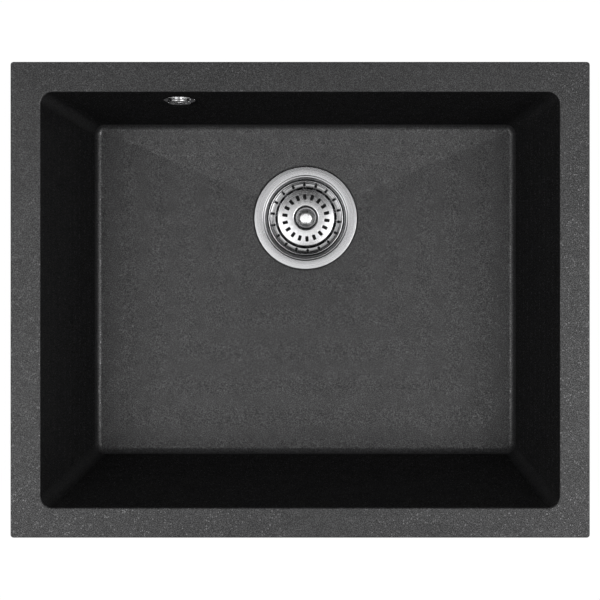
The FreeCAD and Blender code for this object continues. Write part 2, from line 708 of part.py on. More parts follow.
def strainer_basket():
    top = BASKET_TOP_Z
    profile = [
        (BASKET_RIM_RADIUS, top - BASKET_RIM_LIP),
        (BASKET_RIM_RADIUS - BASKET_SHEET / 2, top),
        (BASKET_RIM_RADIUS - BASKET_RIM_WIDTH, top),
        (BASKET_SHOULDER_RADIUS, top - BASKET_SHOULDER_DEPTH),
        (CHANNEL_OUTER_RADIUS, top - CHANNEL_DEPTH),
        (CHANNEL_INNER_RADIUS, top - CHANNEL_DEPTH),
        (PLATEAU_RADIUS, PLATEAU_Z),
        (WELL_RADIUS, WELL_TOP_Z),
        (WELL_FLOOR_RADIUS, WELL_FLOOR_Z),
        (STEM_RADIUS + STEM_CLEARANCE, WELL_FLOOR_Z),
    ]
    shell = turned_sheet(profile, BASKET_SHEET, BASKET_BEND)
    low, high = top - CHANNEL_DEPTH - BASKET_SHEET - OVERRUN, WELL_TOP_Z + OVERRUN
    slot = radial_box(SLOT_INNER_RADIUS, SLOT_OUTER_RADIUS, SLOT_WIDTH, low, high)
    dash = ring_sector(DASH_INNER_RADIUS, DASH_OUTER_RADIUS, DASH_ANGLE_DEG, low, high)
    dot = cylinder(DOT_RADIUS, low, top - BASKET_SHOULDER_DEPTH, DOT_CIRCLE_RADIUS)
    half_step = 180.0 / BASKET_HOLES_AROUND
    for tool, first in ((slot, 0.0), (dot, 0.0), (dash, half_step)):
        shell = shell.cut(around(tool, BASKET_HOLES_AROUND, BASKET_TURN_DEG + first))
    return on_drain(shell)


def basket_knob():
    low = WELL_FLOOR_Z
    top = low + KNOB_HEIGHT
    head = top - KNOB_HEAD_HEIGHT
    knob = turned(
        [
            (0, low),
            (KNOB_NECK_RADIUS, low),
            (KNOB_NECK_RADIUS, head),
            (KNOB_RADIUS, head),
            (KNOB_RADIUS, head + KNOB_HEAD_HEIGHT / 2),
            (KNOB_TOP_RADIUS, top),
            (0, top),
        ],
        [0.0, 0.0, 0.0, KNOB_ROUNDING / 2, KNOB_ROUNDING, KNOB_TOP_ROUNDING, 0.0],
    )
    bore = cylinder(STEM_RADIUS + STEM_CLEARANCE, low - OVERRUN, head)
    return on_drain(knob.cut(bore))


def plug_low_z():
    """Underside of the plug's lip when the plug is pushed home."""
    return STRAINER_FLOOR_Z + SEATED_GAP


def plug_top_z():
    return plug_low_z() + PLUG_LIP_DROP + PLUG_THICKNESS


def basket_stem():
    """Turned post: a pin through the basket's middle above a collar, with a socket below."""
    low = plug_low_z()
    collar_radius = SOCKET_RADIUS + SOCKET_WALL
    pin_top = WELL_FLOOR_Z + KNOB_HEIGHT - KNOB_HEAD_HEIGHT - STEM_CLEARANCE
    stem = cylinder(STEM_RADIUS, low + SOCKET_DEPTH, pin_top)
    stem = stem.fuse(cylinder(collar_radius, low, WELL_FLOOR_Z - BASKET_SHEET))
    socket_low = low + SOCKET_LIP
    stem = stem.cut(cylinder(SOCKET_RADIUS, socket_low, low + SOCKET_DEPTH))
    return on_drain(stem.cut(cylinder(SOCKET_LIP_RADIUS, low - OVERRUN, socket_low)))


def backing_ring():
    """Stiff washer above the rubber plug."""
    inner = SOCKET_RADIUS + SOCKET_WALL + STEM_CLEARANCE
    low = plug_top_z()
    return on_drain(flat_ring(inner, BACKING_RADIUS, low, low + BACKING_THICKNESS))


def plug_seal():
    """Rubber disc with a lip that closes the strainer's floor."""
    inner = SOCKET_RADIUS + SOCKET_WALL + STEM_CLEARANCE
    low, top = plug_low_z(), plug_top_z()
    seat = low + PLUG_LIP_DROP
    return on_drain(turned([
        (inner, seat),
        (PLUG_RADIUS - PLUG_LIP_WIDTH, seat),
        (PLUG_LIP_RADIUS - PLUG_LIP_WIDTH, low),
        (PLUG_LIP_RADIUS, low),
        (PLUG_RADIUS, top),
        (inner, top),
    ]))


def stem_catch():
    """Slit spring ring held in the stem's socket, which snaps over the bolt's head."""
    outer = SOCKET_RADIUS - CATCH_GAP
    inner = BOLT_HEAD_RADIUS + CATCH_GAP
    low = plug_low_z() + SOCKET_LIP + CATCH_GAP
    high = plug_low_z() + SOCKET_DEPTH - CATCH_GAP
    ring = flat_ring(inner, outer, low, high)
    slit = radial_box(0, outer + OVERRUN, CATCH_SLIT, low - OVERRUN, high + OVERRUN)
    return on_drain(ring.cut(slit))


# Overflow


def in_overflow(shape):
    """Places a shape made about the Z axis on the overflow's axis.

    Its XY plane goes to the rear wall's inner face, +Z points out through the wall and square to
    it, and +Y points up the wall.
    """
    slope = vec(0, math.sin(math.radians(WALL_DRAFT_DEG)), math.cos(math.radians(WALL_DRAFT_DEG)))
    outward = vec(0, slope.z, -slope.y)
    across = slope.cross(outward)
    origin = vec(-OVERFLOW_SIDE, wall_half(MOUTH_HALF_Y, OVERFLOW_Z), OVERFLOW_Z)
    matrix = FreeCAD.Matrix(
        across.x, slope.x, outward.x, origin.x,
        across.y, slope.y, outward.y, origin.y,
        across.z, slope.z, outward.z, origin.z,
        0, 0, 0, 1,
    )
    moved = shape.copy()
    moved.Placement = FreeCAD.Placement(matrix).multiply(shape.Placement)
    return moved


def overflow_point(x, y, z):
    """Point given on the overflow's own axes, in the frame of the whole part."""
    return in_overflow(Part.Vertex(x, y, z)).Point


def wall_outside():
    """Distance from the wall's inner face to its outer face, square to the wall."""
    return WALL * math.cos(math.radians(WALL_DRAFT_DEG))


def overflow_cover():
    """Round plate with a slotted drum that stands into the bowl."""
    drum_face = -COVER_PLATE - COVER_DRUM_HEIGHT
    plate = cylinder(COVER_RADIUS, -COVER_PLATE, 0)
    plate = plate.makeFillet(COVER_EDGE_RADIUS, [plate.Edges[i] for i in front_edges(plate)])
    drum = cylinder(COVER_DRUM_RADIUS, drum_face, -COVER_PLATE / 2)
    drum = drum.makeFillet(COVER_EDGE_RADIUS, [drum.Edges[i] for i in front_edges(drum)])
    cover = plate.fuse(drum)
    cover = cover.cut(cylinder(COVER_DRUM_RADIUS - COVER_WALL, drum_face + COVER_WALL, OVERRUN))
    cover = cover.fuse(cylinder(COVER_BOSS_RADIUS, drum_face + COVER_WALL / 2, 0))
    slot = radial_box(
        COVER_SLOT_INNER,
        COVER_DRUM_RADIUS + OVERRUN,
        COVER_SLOT_WIDTH,
        drum_face - OVERRUN,
        drum_face + COVER_SLOT_DROP,
    )
    cover = cover.cut(around(slot, COVER_SLOT_COUNT, 180.0 / COVER_SLOT_COUNT))
    sink = cylinder(
        COVER_SCREW_HEAD_RADIUS + COVER_SCREW_CLEARANCE,
        drum_face - OVERRUN,
        drum_face + COVER_WALL / 2,
    )
    bore = cylinder(COVER_SCREW_RADIUS + COVER_SCREW_CLEARANCE, drum_face - OVERRUN, OVERRUN)
    return in_overflow(cover.cut(sink).cut(bore))


def front_edges(shape):
    """Indices of the edges at a shape's lowest level."""
    low = shape.BoundBox.ZMin
    return [i for i, e in enumerate(shape.Edges) if e.BoundBox.ZMax < low + NEAR]


def elbow_back():
    """Outer end of the elbow, on the overflow's own axes."""
    return wall_outside() + OVERFLOW_GASKET + SPIGOT_OFFSET + SPIGOT_RADIUS


def overflow_screw():
    face = -COVER_PLATE - COVER_DRUM_HEIGHT + COVER_WALL / 2
    head = cylinder(COVER_SCREW_HEAD_RADIUS, face - COVER_SCREW_HEAD, face)
    shank = cylinder(COVER_SCREW_RADIUS, face - OVERRUN / 2, elbow_back() - ELBOW_WALL)
    slot = Part.makeBox(
        2 * COVER_SCREW_HEAD_RADIUS + OVERRUN,
        COVER_SCREW_SLOT,
        COVER_SCREW_SLOT + OVERRUN,
        vec(
            -COVER_SCREW_HEAD_RADIUS - OVERRUN / 2,
            -COVER_SCREW_SLOT / 2,
            face - COVER_SCREW_HEAD - OVERRUN,
        ),
    )
    return in_overflow(head.fuse(shank).cut(slot))


def overflow_gasket():
    low = wall_outside()
    outer = ELBOW_FLANGE_RADIUS - GASKET_EDGE_GAP
    return in_overflow(flat_ring(OVERFLOW_HOLE_RADIUS, outer, low, low + OVERFLOW_GASKET))


def spigot(radius, start, end):
    """Cylinder down the wall from the elbow, on the overflow's own axes."""
    z = wall_outside() + OVERFLOW_GASKET + SPIGOT_OFFSET
    return Part.makeCylinder(radius, end - start, vec(0, -start, z), vec(0, -1, 0))


def overflow_elbow():
    low = wall_outside() + OVERFLOW_GASKET
    back = elbow_back()
    body = cylinder(ELBOW_FLANGE_RADIUS, low, low + ELBOW_FLANGE)
    body = body.fuse(cylinder(ELBOW_CHAMBER_RADIUS + ELBOW_WALL, low, back))
    body = body.fuse(spigot(SPIGOT_RADIUS, 0, SPIGOT_LENGTH))
    body = body.cut(cylinder(ELBOW_CHAMBER_RADIUS, low - OVERRUN, back - ELBOW_WALL))
    body = body.cut(spigot(SPIGOT_BORE_RADIUS, 0, SPIGOT_LENGTH + OVERRUN))
    body = body.fuse(cylinder(ELBOW_BOSS_RADIUS, low, back - ELBOW_WALL / 2))
    bore = cylinder(
        COVER_SCREW_RADIUS + COVER_SCREW_CLEARANCE,
        low - OVERRUN,
        back - ELBOW_WALL + COVER_SCREW_CLEARANCE,
    )
    return in_overflow(body.cut(bore))


# Overflow hose


def hose_top():
    return overflow_point(0, -SPIGOT_LENGTH, wall_outside() + OVERFLOW_GASKET + SPIGOT_OFFSET)


def hose_down():
    """Direction in which the hose leaves the elbow, along the rear wall."""
    return (overflow_point(0, -1, 0) - overflow_point(0, 0, 0)).normalize()


def hose_corner():
    """Point where the hose's drop meets the level of the port."""
    start, down = hose_top(), hose_down()
    return start + down * ((PORT_Z - start.z) / down.z)


def hose_end():
    return vec(0, DRAIN_SETBACK, PORT_Z) + port_direction() * PORT_REACH


def hose_route():
    """Straight, arc, straight: points and direction at any distance along the hose's middle line."""
    top, corner, end = hose_top(), hose_corner(), hose_end()
    first, middle, last = corner_arc(top, corner, end, HOSE_BEND_RADIUS)
    drop, run = (first - top).Length, (end - last).Length
    sweep = math.pi - (top - corner).getAngle(end - corner)
    arc = HOSE_BEND_RADIUS * sweep
    down, level = (corner - top).normalize(), (end - corner).normalize()
    normal = down.cross(level).normalize()
    centre = first + normal.cross(down) * HOSE_BEND_RADIUS

    def at(distance):
        if distance <= drop:
            return top + down * distance, down
        if distance >= drop + arc:
            return last + level * (distance - drop - arc), level
        turn = FreeCAD.Rotation(normal, math.degrees((distance - drop) / HOSE_BEND_RADIUS))
        return centre + turn.multVec(first - centre), turn.multVec(down)

    return at, drop + arc + run, normal


def ring_wire(centre, direction, across, radius):
    circle = Part.Circle(centre, direction, radius)
    circle.XAxis = across
    return Part.Wire([circle.toShape()])


def overflow_hose():
    """Corrugated hose from the elbow to the waste body's port, plain at both cuffs."""
    at, length, across = hose_route()
    ribs = int((length - 2 * HOSE_CUFF_LENGTH) / HOSE_RIB_PITCH)
    first_rib = (length - ribs * HOSE_RIB_PITCH) / 2
    crest, flank = HOSE_RIB_PITCH * RIB_CREST_SHARE, HOSE_RIB_PITCH * RIB_FLANK_SHARE
    stations = [(0.0, HOSE_ROOT_RADIUS)]
    for i in range(ribs):
        start = first_rib + i * HOSE_RIB_PITCH
        stations += [
            (start, HOSE_ROOT_RADIUS),
            (start + flank, HOSE_CREST_RADIUS),
            (start + flank + crest, HOSE_CREST_RADIUS),
            (start + 2 * flank + crest, HOSE_ROOT_RADIUS),
        ]
    stations.append((length, HOSE_ROOT_RADIUS))
    outside, bore = [], []
    for distance, radius in stations:
        point, direction = at(distance)
        outside.append(ring_wire(point, direction, across, radius))
    bore_steps = int(length / HOSE_RIB_PITCH)
    for i in range(bore_steps + 1):
        point, direction = at(length * i / bore_steps)
        bore.append(ring_wire(point, direction, across, HOSE_BORE_RADIUS))
    print(f"overflow hose: {length:.1f} mm long, {ribs} ribs, bend radius {HOSE_BEND_RADIUS}")
    return Part.makeLoft(outside, True, True).cut(Part.makeLoft(bore, True, True))


def hose_fitting(shape, upper):
    """Places a shape made about +Z, with its XY plane at a hose end and +Z along the hose."""
    point, direction = (hose_top(), hose_down()) if upper else (hose_end(), port_direction())
    turn = FreeCAD.Rotation(UP, direction)
    return shape.copy().transformed(FreeCAD.Placement(point, turn).toMatrix())


def hose_nut(upper):
    """Union nut: threaded over the spigot, with a shoulder round the hose."""
    low, high = -HOSE_NUT_OVERLAP, HOSE_NUT_LENGTH - HOSE_NUT_OVERLAP
    chamfer = HOSE_NUT_GRIP_RADIUS
    thread = SPIGOT_RADIUS + HOSE_NUT_THREAD_GAP
    mouth = HOSE_CREST_RADIUS + HOSE_NUT_MOUTH_GAP
    nut = turned([
        (thread, low),
        (HOSE_NUT_RADIUS - chamfer, low),
        (HOSE_NUT_RADIUS, low + chamfer),
        (HOSE_NUT_RADIUS, high - chamfer),
        (HOSE_NUT_RADIUS - chamfer, high),
        (mouth, high),
        (mouth, high - HOSE_NUT_SHOULDER),
        (thread, high - HOSE_NUT_SHOULDER),
    ])
    groove = cylinder(HOSE_NUT_GRIP_RADIUS, low - OVERRUN, high + OVERRUN, HOSE_NUT_RADIUS)
    return hose_fitting(nut.cut(around(groove, HOSE_NUT_GRIPS)), upper)


def hose_seal(upper):
    """Tapered rubber ring between the hose's cuff, the spigot's end and the nut's shoulder."""
    inner = HOSE_ROOT_RADIUS + HOSE_SEAL_GAP
    outer = SPIGOT_RADIUS
    high = HOSE_NUT_LENGTH - HOSE_NUT_OVERLAP - HOSE_NUT_SHOULDER
    return hose_fitting(
        turned([
            (inner, 0),
            (outer - HOSE_SEAL_GAP, 0),
            (outer, high / 2),
            (outer, high),
            (inner, high),
        ]),
        upper,
    )


# Swing clamps


def clamp_arm():
    """Steel strap about its pivot, stowed towards -Y, with a notched claw that points up."""
    low = LUG_BOTTOM_Z - CLAMP_PLAY - CLAMP_PLATE
    high = low + CLAMP_PLATE
    half = CLAMP_WIDTH / 2
    strap = Part.makeBox(CLAMP_WIDTH, CLAMP_REACH, CLAMP_PLATE, vec(-half, -CLAMP_REACH, low))
    claw = Part.makeBox(
        CLAMP_WIDTH,
        CLAMP_PLATE,
        LUG_TOP_Z - low,
        vec(-half, -CLAMP_REACH, low),
    )
    arm = cylinder(half, low, high).fuse(strap).fuse(claw)
    foot = [
        e
        for e in arm.Edges
        if e.BoundBox.YMax < -CLAMP_REACH + CLAMP_PLATE / 2 and e.BoundBox.ZMax < high
    ]
    arm = arm.makeFillet(CLAMP_PLATE / 2, [e for e in foot if e.BoundBox.XLength > half])
    notch = CLAMP_WIDTH * CLAMP_NOTCH_SHARE
    for centre in (-half / 2, half / 2):
        corners = [
            vec(centre - notch, -CLAMP_REACH - OVERRUN, LUG_TOP_Z),
            vec(centre, -CLAMP_REACH - OVERRUN, LUG_TOP_Z - notch),
            vec(centre + notch, -CLAMP_REACH - OVERRUN, LUG_TOP_Z),
        ]
        cutter = Part.Face(Part.makePolygon(corners + [corners[0]]))
        arm = arm.cut(cutter.extrude(vec(0, CLAMP_PLATE + 2 * OVERRUN, 0)))
    hole = SCREW_RADIUS + CLAMP_PIVOT_CLEARANCE
    return arm.cut(cylinder(hole, low - OVERRUN, high + OVERRUN)).removeSplitter()


def clamp_screw():
    seat = LUG_BOTTOM_Z - 2 * CLAMP_PLAY - CLAMP_PLATE
    shank = cylinder(SCREW_RADIUS, seat - OVERRUN, LUG_BOTTOM_Z + SCREW_ENGAGEMENT)
    washer = cylinder(SCREW_WASHER_RADIUS, seat - SCREW_WASHER, seat)
    low = seat - SCREW_WASHER - SCREW_HEAD_HEIGHT
    return shank.multiFuse([washer, hexagon_prism(SCREW_HEAD_FLATS, low, seat - SCREW_WASHER)])


def clamp_insert():
    bore = SCREW_RADIUS + INSERT_CLEARANCE
    top = LUG_BOTTOM_Z + INSERT_LENGTH
    sleeve = cylinder(INSERT_RADIUS, LUG_BOTTOM_Z, top)
    return sleeve.cut(cylinder(bore, LUG_BOTTOM_Z - OVERRUN, LUG_BOTTOM_Z + SCREW_ENGAGEMENT + OVERRUN))


def clamps():
    """Each clamp's name and its solid in the stowed place."""
    return {name: facing(clamp_arm(), pivot, out) for name, pivot, out, _ in clamp_places()}


def at_each_clamp(shape):
    return Part.makeCompound([facing(shape, pivot, out) for _, pivot, out, _ in clamp_places()])


def build():
    nodes = {
        "sink_bowl": sink_bowl(),
        "strainer_body": strainer_body(),
        "flange_gasket": flange_gasket(),
        "waste_gasket": waste_gasket(),
        "waste_body": waste_body(),
        "waste_tail": waste_tail(),
        "waste_bolt": waste_bolt(),
        "waste_nut": waste_nut(),
        "strainer_basket": strainer_basket(),
        "basket_knob": basket_knob(),
        "basket_stem": basket_stem(),
        "backing_ring": backing_ring(),
        "plug_seal": plug_seal(),
        "stem_catch": stem_catch(),
        "overflow_cover": overflow_cover(),
        "overflow_screw": overflow_screw(),
        "overflow_gasket": overflow_gasket(),
        "overflow_elbow": overflow_elbow(),
        "overflow_hose": overflow_hose(),
        "hose_nut_upper": hose_nut(True),
        "hose_nut_lower": hose_nut(False),
        "hose_seal_upper": hose_seal(True),
        "hose_seal_lower": hose_seal(False),
        "clamp_screws": at_each_clamp(clamp_screw()),
        "clamp_inserts": at_each_clamp(clamp_insert()),
    }
    nodes.update(clamps())
    return nodes


def main():
    os.makedirs("parts", exist_ok=True)
    for name, shape in build().items():
        shape.exportStep(f"parts/{name}.step")
        print(f"{name}: {len(shape.Solids)} solids, {shape.Volume / 1000:.2f} cm3, valid {shape.isValid()}")


if __name__ == "__main__":
    main()
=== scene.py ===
"""Looks of a drop-in composite kitchen sink with a basket strainer waste and an overflow.

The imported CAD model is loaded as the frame. This file adds the finishes of its nodes, the
finely pressed strainer parts, the moulded and threaded details of the fittings, and the studio.
"""

from __future__ import annotations

import json
import logging
import math
from dataclasses import dataclass
from enum import Enum
from functools import cache, partial, reduce
from typing import Iterable, Sequence

import bmesh
import bpy
from mathutils import Matrix, Vector

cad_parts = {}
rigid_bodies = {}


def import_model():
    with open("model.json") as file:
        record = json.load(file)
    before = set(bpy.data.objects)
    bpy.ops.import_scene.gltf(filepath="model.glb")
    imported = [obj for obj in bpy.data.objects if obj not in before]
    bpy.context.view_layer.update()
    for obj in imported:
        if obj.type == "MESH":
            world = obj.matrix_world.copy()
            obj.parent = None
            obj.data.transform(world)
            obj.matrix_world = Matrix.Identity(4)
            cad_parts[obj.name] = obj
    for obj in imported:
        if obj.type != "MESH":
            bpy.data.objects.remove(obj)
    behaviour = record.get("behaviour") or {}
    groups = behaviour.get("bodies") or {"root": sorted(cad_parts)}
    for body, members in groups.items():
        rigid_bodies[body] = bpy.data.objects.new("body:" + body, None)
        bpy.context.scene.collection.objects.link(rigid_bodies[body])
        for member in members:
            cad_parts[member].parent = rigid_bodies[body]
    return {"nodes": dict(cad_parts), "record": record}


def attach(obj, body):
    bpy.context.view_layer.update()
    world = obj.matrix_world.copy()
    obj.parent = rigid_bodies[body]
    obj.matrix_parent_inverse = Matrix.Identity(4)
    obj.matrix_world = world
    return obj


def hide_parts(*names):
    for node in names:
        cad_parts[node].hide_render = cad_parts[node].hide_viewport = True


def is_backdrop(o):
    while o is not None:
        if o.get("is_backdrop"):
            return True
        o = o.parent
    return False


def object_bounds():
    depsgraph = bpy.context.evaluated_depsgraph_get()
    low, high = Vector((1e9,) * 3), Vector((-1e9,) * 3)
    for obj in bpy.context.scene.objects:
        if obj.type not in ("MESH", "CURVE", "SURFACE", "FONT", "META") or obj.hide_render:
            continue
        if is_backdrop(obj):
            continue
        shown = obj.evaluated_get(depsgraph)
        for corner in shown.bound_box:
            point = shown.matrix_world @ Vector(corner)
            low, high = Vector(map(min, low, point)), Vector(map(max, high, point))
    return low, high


log = logging.getLogger("sink")

MM = 0.001
TURN = 2 * math.pi
Point = tuple[float, float]
Triple = tuple[float, float, float]
Span = tuple[Point, Point]
Thing = bpy.types.Object
Material = bpy.types.Material
Tree = bpy.types.GeometryNodeTree
Node = bpy.types.Node
Socket = bpy.types.NodeSocket
Value = Node | Socket  # a node stands for its first output


class Body(Enum):
    """Bodies that the scene's own pieces ride on."""

    SINK = "sink"
    BASKET = "basket"


class Slot(Enum):
    """Material slots of the record."""

    COMPOSITE = "composite"
    SHEET = "stainless_sheet"
    TURNED = "stainless_turned"
    BASKET = "polished_basket"
    KNOB = "polished_knob"
    COVER = "polished_cover"
    RUBBER = "black_rubber"
    GREY = "grey_plastic"
    WHITE = "white_plastic"
    HOSE = "hose_plastic"
    NUT = "nut_plastic"
    ZINC = "zinc_steel"
    BRASS = "insert_brass"
    CLAMP = "clamp_steel"


class Axis(Enum):
    """Directions in which the sky's brightness changes."""

    EAST = "X"
    NORTH = "Y"
    UP = "Z"


# Node trees


class Graph:
    """Node tree that nodes are added to by type."""

    def __init__(self, tree: bpy.types.NodeTree) -> None:
        """Takes over a tree and empties it."""
        self.tree = tree
        tree.nodes.clear()

    def add(self, kind: str, inputs: dict | None = None, **settings: object) -> Node:
        """Adds a node.

        Args:
            kind: type of the node.
            inputs: number, colour, socket or node of each input, by its name or number.
            settings: other properties of the node.

        Returns:
            The node.
        """
        node = self.tree.nodes.new(kind)
        for key, value in settings.items():
            setattr(node, key, value)
        for key, value in (inputs or {}).items():
            if isinstance(value, Value):
                self.link(value, node.inputs[key])
            else:
                node.inputs[key].default_value = value
        return node

    def link(self, source: Value, target: Socket) -> None:
        """Links a value to an input."""
        self.tree.links.new(source.outputs[0] if isinstance(source, Node) else source, target)

    def math(self, operation: str, *values: object) -> Node:
        """Node that works out a value from others."""
        return self.add("ShaderNodeMath", dict(enumerate(values)), operation=operation)

    def vector(self, operation: str, *values: object) -> Node:
        """Node that works out a vector from others."""
        return self.add("ShaderNodeVectorMath", dict(enumerate(values)), operation=operation)


class Shading(Graph):
    """Shader nodes of a material or of the world."""

    def __init__(self, owner: Material | bpy.types.World) -> None:
        """Takes over the nodes of a material or a world.

        Args:
            owner: the material or the world.
        """
        owner.use_nodes = True
        super().__init__(owner.node_tree)
        self.owner = owner

    def largest(self, *values: Value) -> Node:
        """The largest of several values."""
        return reduce(partial(self.math, "MAXIMUM"), values)

    def product(self, *values: Value | float) -> Node:
        """Several values multiplied together."""
        return reduce(partial(self.math, "MULTIPLY"), values)

    def span(self, value: Value, source: Point, target: Point) -> Node:
        """A value taken smoothly from one range to another.

        Args:
            value: the value.
            source: its range.
            target: the new range.

        Returns:
            The node that gives the new value.
        """
        inputs = dict(zip(("From Min", "From Max", "To Min", "To Max"), source + target))
        inputs["Value"] = value
        return self.add("ShaderNodeMapRange", inputs, interpolation_type="SMOOTHSTEP")

    def place(self) -> Socket:
        """Object coordinates, in metres."""
        return self.add("ShaderNodeTexCoord").outputs["Object"]

    def noise(self, place: Value, scale: float, octaves: float) -> Socket:
        """Noise with so many waves in a metre."""
        inputs = {"Vector": place, "Scale": scale, "Detail": octaves}
        return self.add("ShaderNodeTexNoise", inputs).outputs["Fac"]

    def bump(self, height: Value, strength: float, distance: float) -> Node:
        """Surface normal of a height, whose 1 is the distance in metres."""
        inputs = {"Strength": strength, "Distance": distance, "Height": height}
        return self.add("ShaderNodeBump", inputs)

    def tint(self, colour: Triple, share: Node) -> Node:
        """A colour made lighter or darker by a share."""
        return self.add("ShaderNodeVectorMath", {0: colour, "Scale": share}, operation="SCALE")

    def mix(self, share: Value, first: Node, second: Node) -> Node:
        """The first shader where the share is 0, and the second where it is 1."""
        return self.add("ShaderNodeMixShader", {0: share, 1: first, 2: second})

    def surface(self, shader: Node) -> Material | bpy.types.World:
        """Ends the tree with its surface, and gives the finished material or world."""
        self.add(f"ShaderNodeOutput{type(self.owner).__name__}", {"Surface": shader})
        return self.owner


# Studio


@dataclass(frozen=True)
class Studio:
    """Camera, white floor, world and lamp.

    The sky is what gloss shows: each step of it is an axis, a range of the direction's share
    along that axis, and the brightness at both ends of the range.
    """

    camera_place: Triple = (0.0428, 0.0878, 1.408)
    lens: float = 86.94
    sensor: float = 36.0
    shift: Point = (-0.074, -0.1517)
    clip: Point = (0.05, 30.0)
    floor_size: float = 9.0
    floor_gap: float = 0.0006
    floor_white: float = 0.86
    floor_shadow_share: float = 0.06
    floor_glow: float = 1.035
    ambient: float = 0.10
    zenith: float = 0.87
    sky: tuple[tuple[Axis, Point, Point], ...] = (
        (Axis.EAST, (-0.03, 0.06), (1.0, 0.62)),
        (Axis.EAST, (0.03, 0.36), (1.0, 10.0)),
        (Axis.EAST, (0.0, -0.40), (1.0, 4.4)),
        (Axis.EAST, (0.50, 0.70), (1.0, 0.22)),
        (Axis.EAST, (-0.50, -0.70), (1.0, 0.22)),
        (Axis.NORTH, (0.20, 0.42), (1.0, 0.22)),
        (Axis.NORTH, (-0.20, -0.42), (1.0, 0.22)),
        (Axis.NORTH, (0.11, -0.10), (0.13, 1.22)),
        (Axis.UP, (0.975, 0.999), (1.0, 1.57)),
    )
    key_height: float = 3.5
    key_size: Point = (5.2, 0.4)
    key_place: Point = (0.0, -0.04)
    key_power: float = 138.0

    def camera(self) -> None:
        """Straight down over the sink, shifted as the photograph's frame is."""
        data = bpy.data.cameras.new("sink_camera")
        data.lens = self.lens
        data.sensor_width = self.sensor
        data.shift_x, data.shift_y = self.shift
        data.clip_start, data.clip_end = self.clip
        camera = new_object("sink_camera", data)
        camera.location = self.camera_place
        bpy.context.scene.camera = camera

    def floor(self, level: float) -> None:
        """White floor just under the outlet.

        Args:
            level: lowest height of the sink.
        """
        half = self.floor_size / 2
        z = level - self.floor_gap
        corners = [(-half, -half, z), (half, -half, z), (half, half, z), (-half, half, z)]
        floor = mesh_object("studio_floor", corners, [(0, 1, 2, 3)])
        floor.data.materials.append(self.floor_material())
        floor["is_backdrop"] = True

    def floor_material(self) -> Material:
        """Matt white that the camera and mirrors see as the white background, with its shadow.

        Its lower side is clear, so that the sink can be looked at from underneath.

        Returns:
            The material.
        """
        paint = Shading(bpy.data.materials.new("studio_white"))
        matt = paint.add("ShaderNodeBsdfDiffuse", {"Color": (self.floor_white,) * 3 + (1.0,)})
        glow = paint.add("ShaderNodeEmission", {"Strength": self.floor_glow})
        ray = paint.add("ShaderNodeLightPath").outputs
        seen = paint.math("MULTIPLY", ray["Is Camera Ray"], 1.0 - self.floor_shadow_share)
        share = paint.largest(seen, ray["Is Glossy Ray"], ray["Is Transmission Ray"])
        below = paint.add("ShaderNodeNewGeometry").outputs["Backfacing"]
        clear = paint.add("ShaderNodeBsdfTransparent")
        return paint.surface(paint.mix(below, paint.mix(share, matt, glow), clear))

    def world(self) -> None:
        """White to the camera, a soft studio sky to gloss, and a low even light to the rest."""
        paint = Shading(bpy.data.worlds.new("studio_world"))
        even = paint.add("ShaderNodeBackground", {"Strength": self.ambient})
        white = paint.add("ShaderNodeBackground", {"Color": (1.0, 1.0, 1.0, 1.0)})
        sky = paint.add("ShaderNodeBackground", {"Strength": self.sky_level(paint)})
        ray = paint.add("ShaderNodeLightPath").outputs
        seen = paint.largest(ray["Is Camera Ray"], ray["Is Transmission Ray"])
        lit = paint.mix(ray["Is Glossy Ray"], even, sky)
        bpy.context.scene.world = paint.surface(paint.mix(seen, lit, white))

    def sky_level(self, paint: Shading) -> Node:
        """Brightness of the reflected sky by direction: a wide patch, brighter at its sides.

        Args:
            paint: nodes of the world.

        Returns:
            The node that gives the brightness.
        """
        direction = paint.add("ShaderNodeTexCoord").outputs["Generated"]
        shares = paint.add("ShaderNodeSeparateXYZ", {0: direction}).outputs
        steps = [paint.span(shares[axis.value], *step) for axis, *step in self.sky]
        return paint.product(*steps, self.zenith)

    def lamp(self) -> None:
        """One large soft lamp overhead, that gloss doesn't show."""
        data = bpy.data.lights.new("overhead_softbox", "AREA")
        data.shape = "RECTANGLE"
        data.size, data.size_y = self.key_size
        data.energy = self.key_power
        lamp = new_object("overhead_softbox", data)
        lamp.location = (*self.key_place, self.key_height)
        lamp.visible_glossy = False

    def build(self, level: float) -> None:
        """Adds everything but the camera.

        Args:
            level: lowest height of the sink.
        """
        self.floor(level)
        self.world()
        self.lamp()
        bpy.context.scene.view_settings.view_transform = "Standard"


# Meshes


MERGE = 1e-7  # distance of points that are one
ON_AXIS = 1e-6  # largest radius that counts as none


def new_object(name: str, data: bpy.types.ID) -> Thing:
    """Object of some data.

    Args:
        name: name of the object.
        data: its mesh, curve, camera or light.

    Returns:
        The object, linked to the scene.
    """
    made = bpy.data.objects.new(name, data)
    bpy.context.scene.collection.objects.link(made)
    return made


def mesh_object(name: str, points: Sequence[Triple], faces: Sequence[Sequence[int]]) -> Thing:
    """Object with its place in its mesh.

    Args:
        name: name of the object and its mesh.
        points: corners.
        faces: corner numbers of each face.

    Returns:
        The object, linked to the scene.
    """
    mesh = bpy.data.meshes.new(name)
    mesh.from_pydata(points, [], faces)
    mesh.validate()
    return new_object(name, mesh)


def used_up(made: Thing) -> None:
    """Removes an object with its mesh or curve."""
    bpy.data.batch_remove((made, made.data))


def outward(made: Thing) -> None:
    """Merges doubles and turns every face of a closed mesh outwards.

    Args:
        made: object with the mesh.
    """
    work = bmesh.new()
    work.from_mesh(made.data)
    bmesh.ops.remove_doubles(work, verts=work.verts, dist=MERGE)
    bmesh.ops.recalc_face_normals(work, faces=work.faces)
    work.to_mesh(made.data)
    work.free()


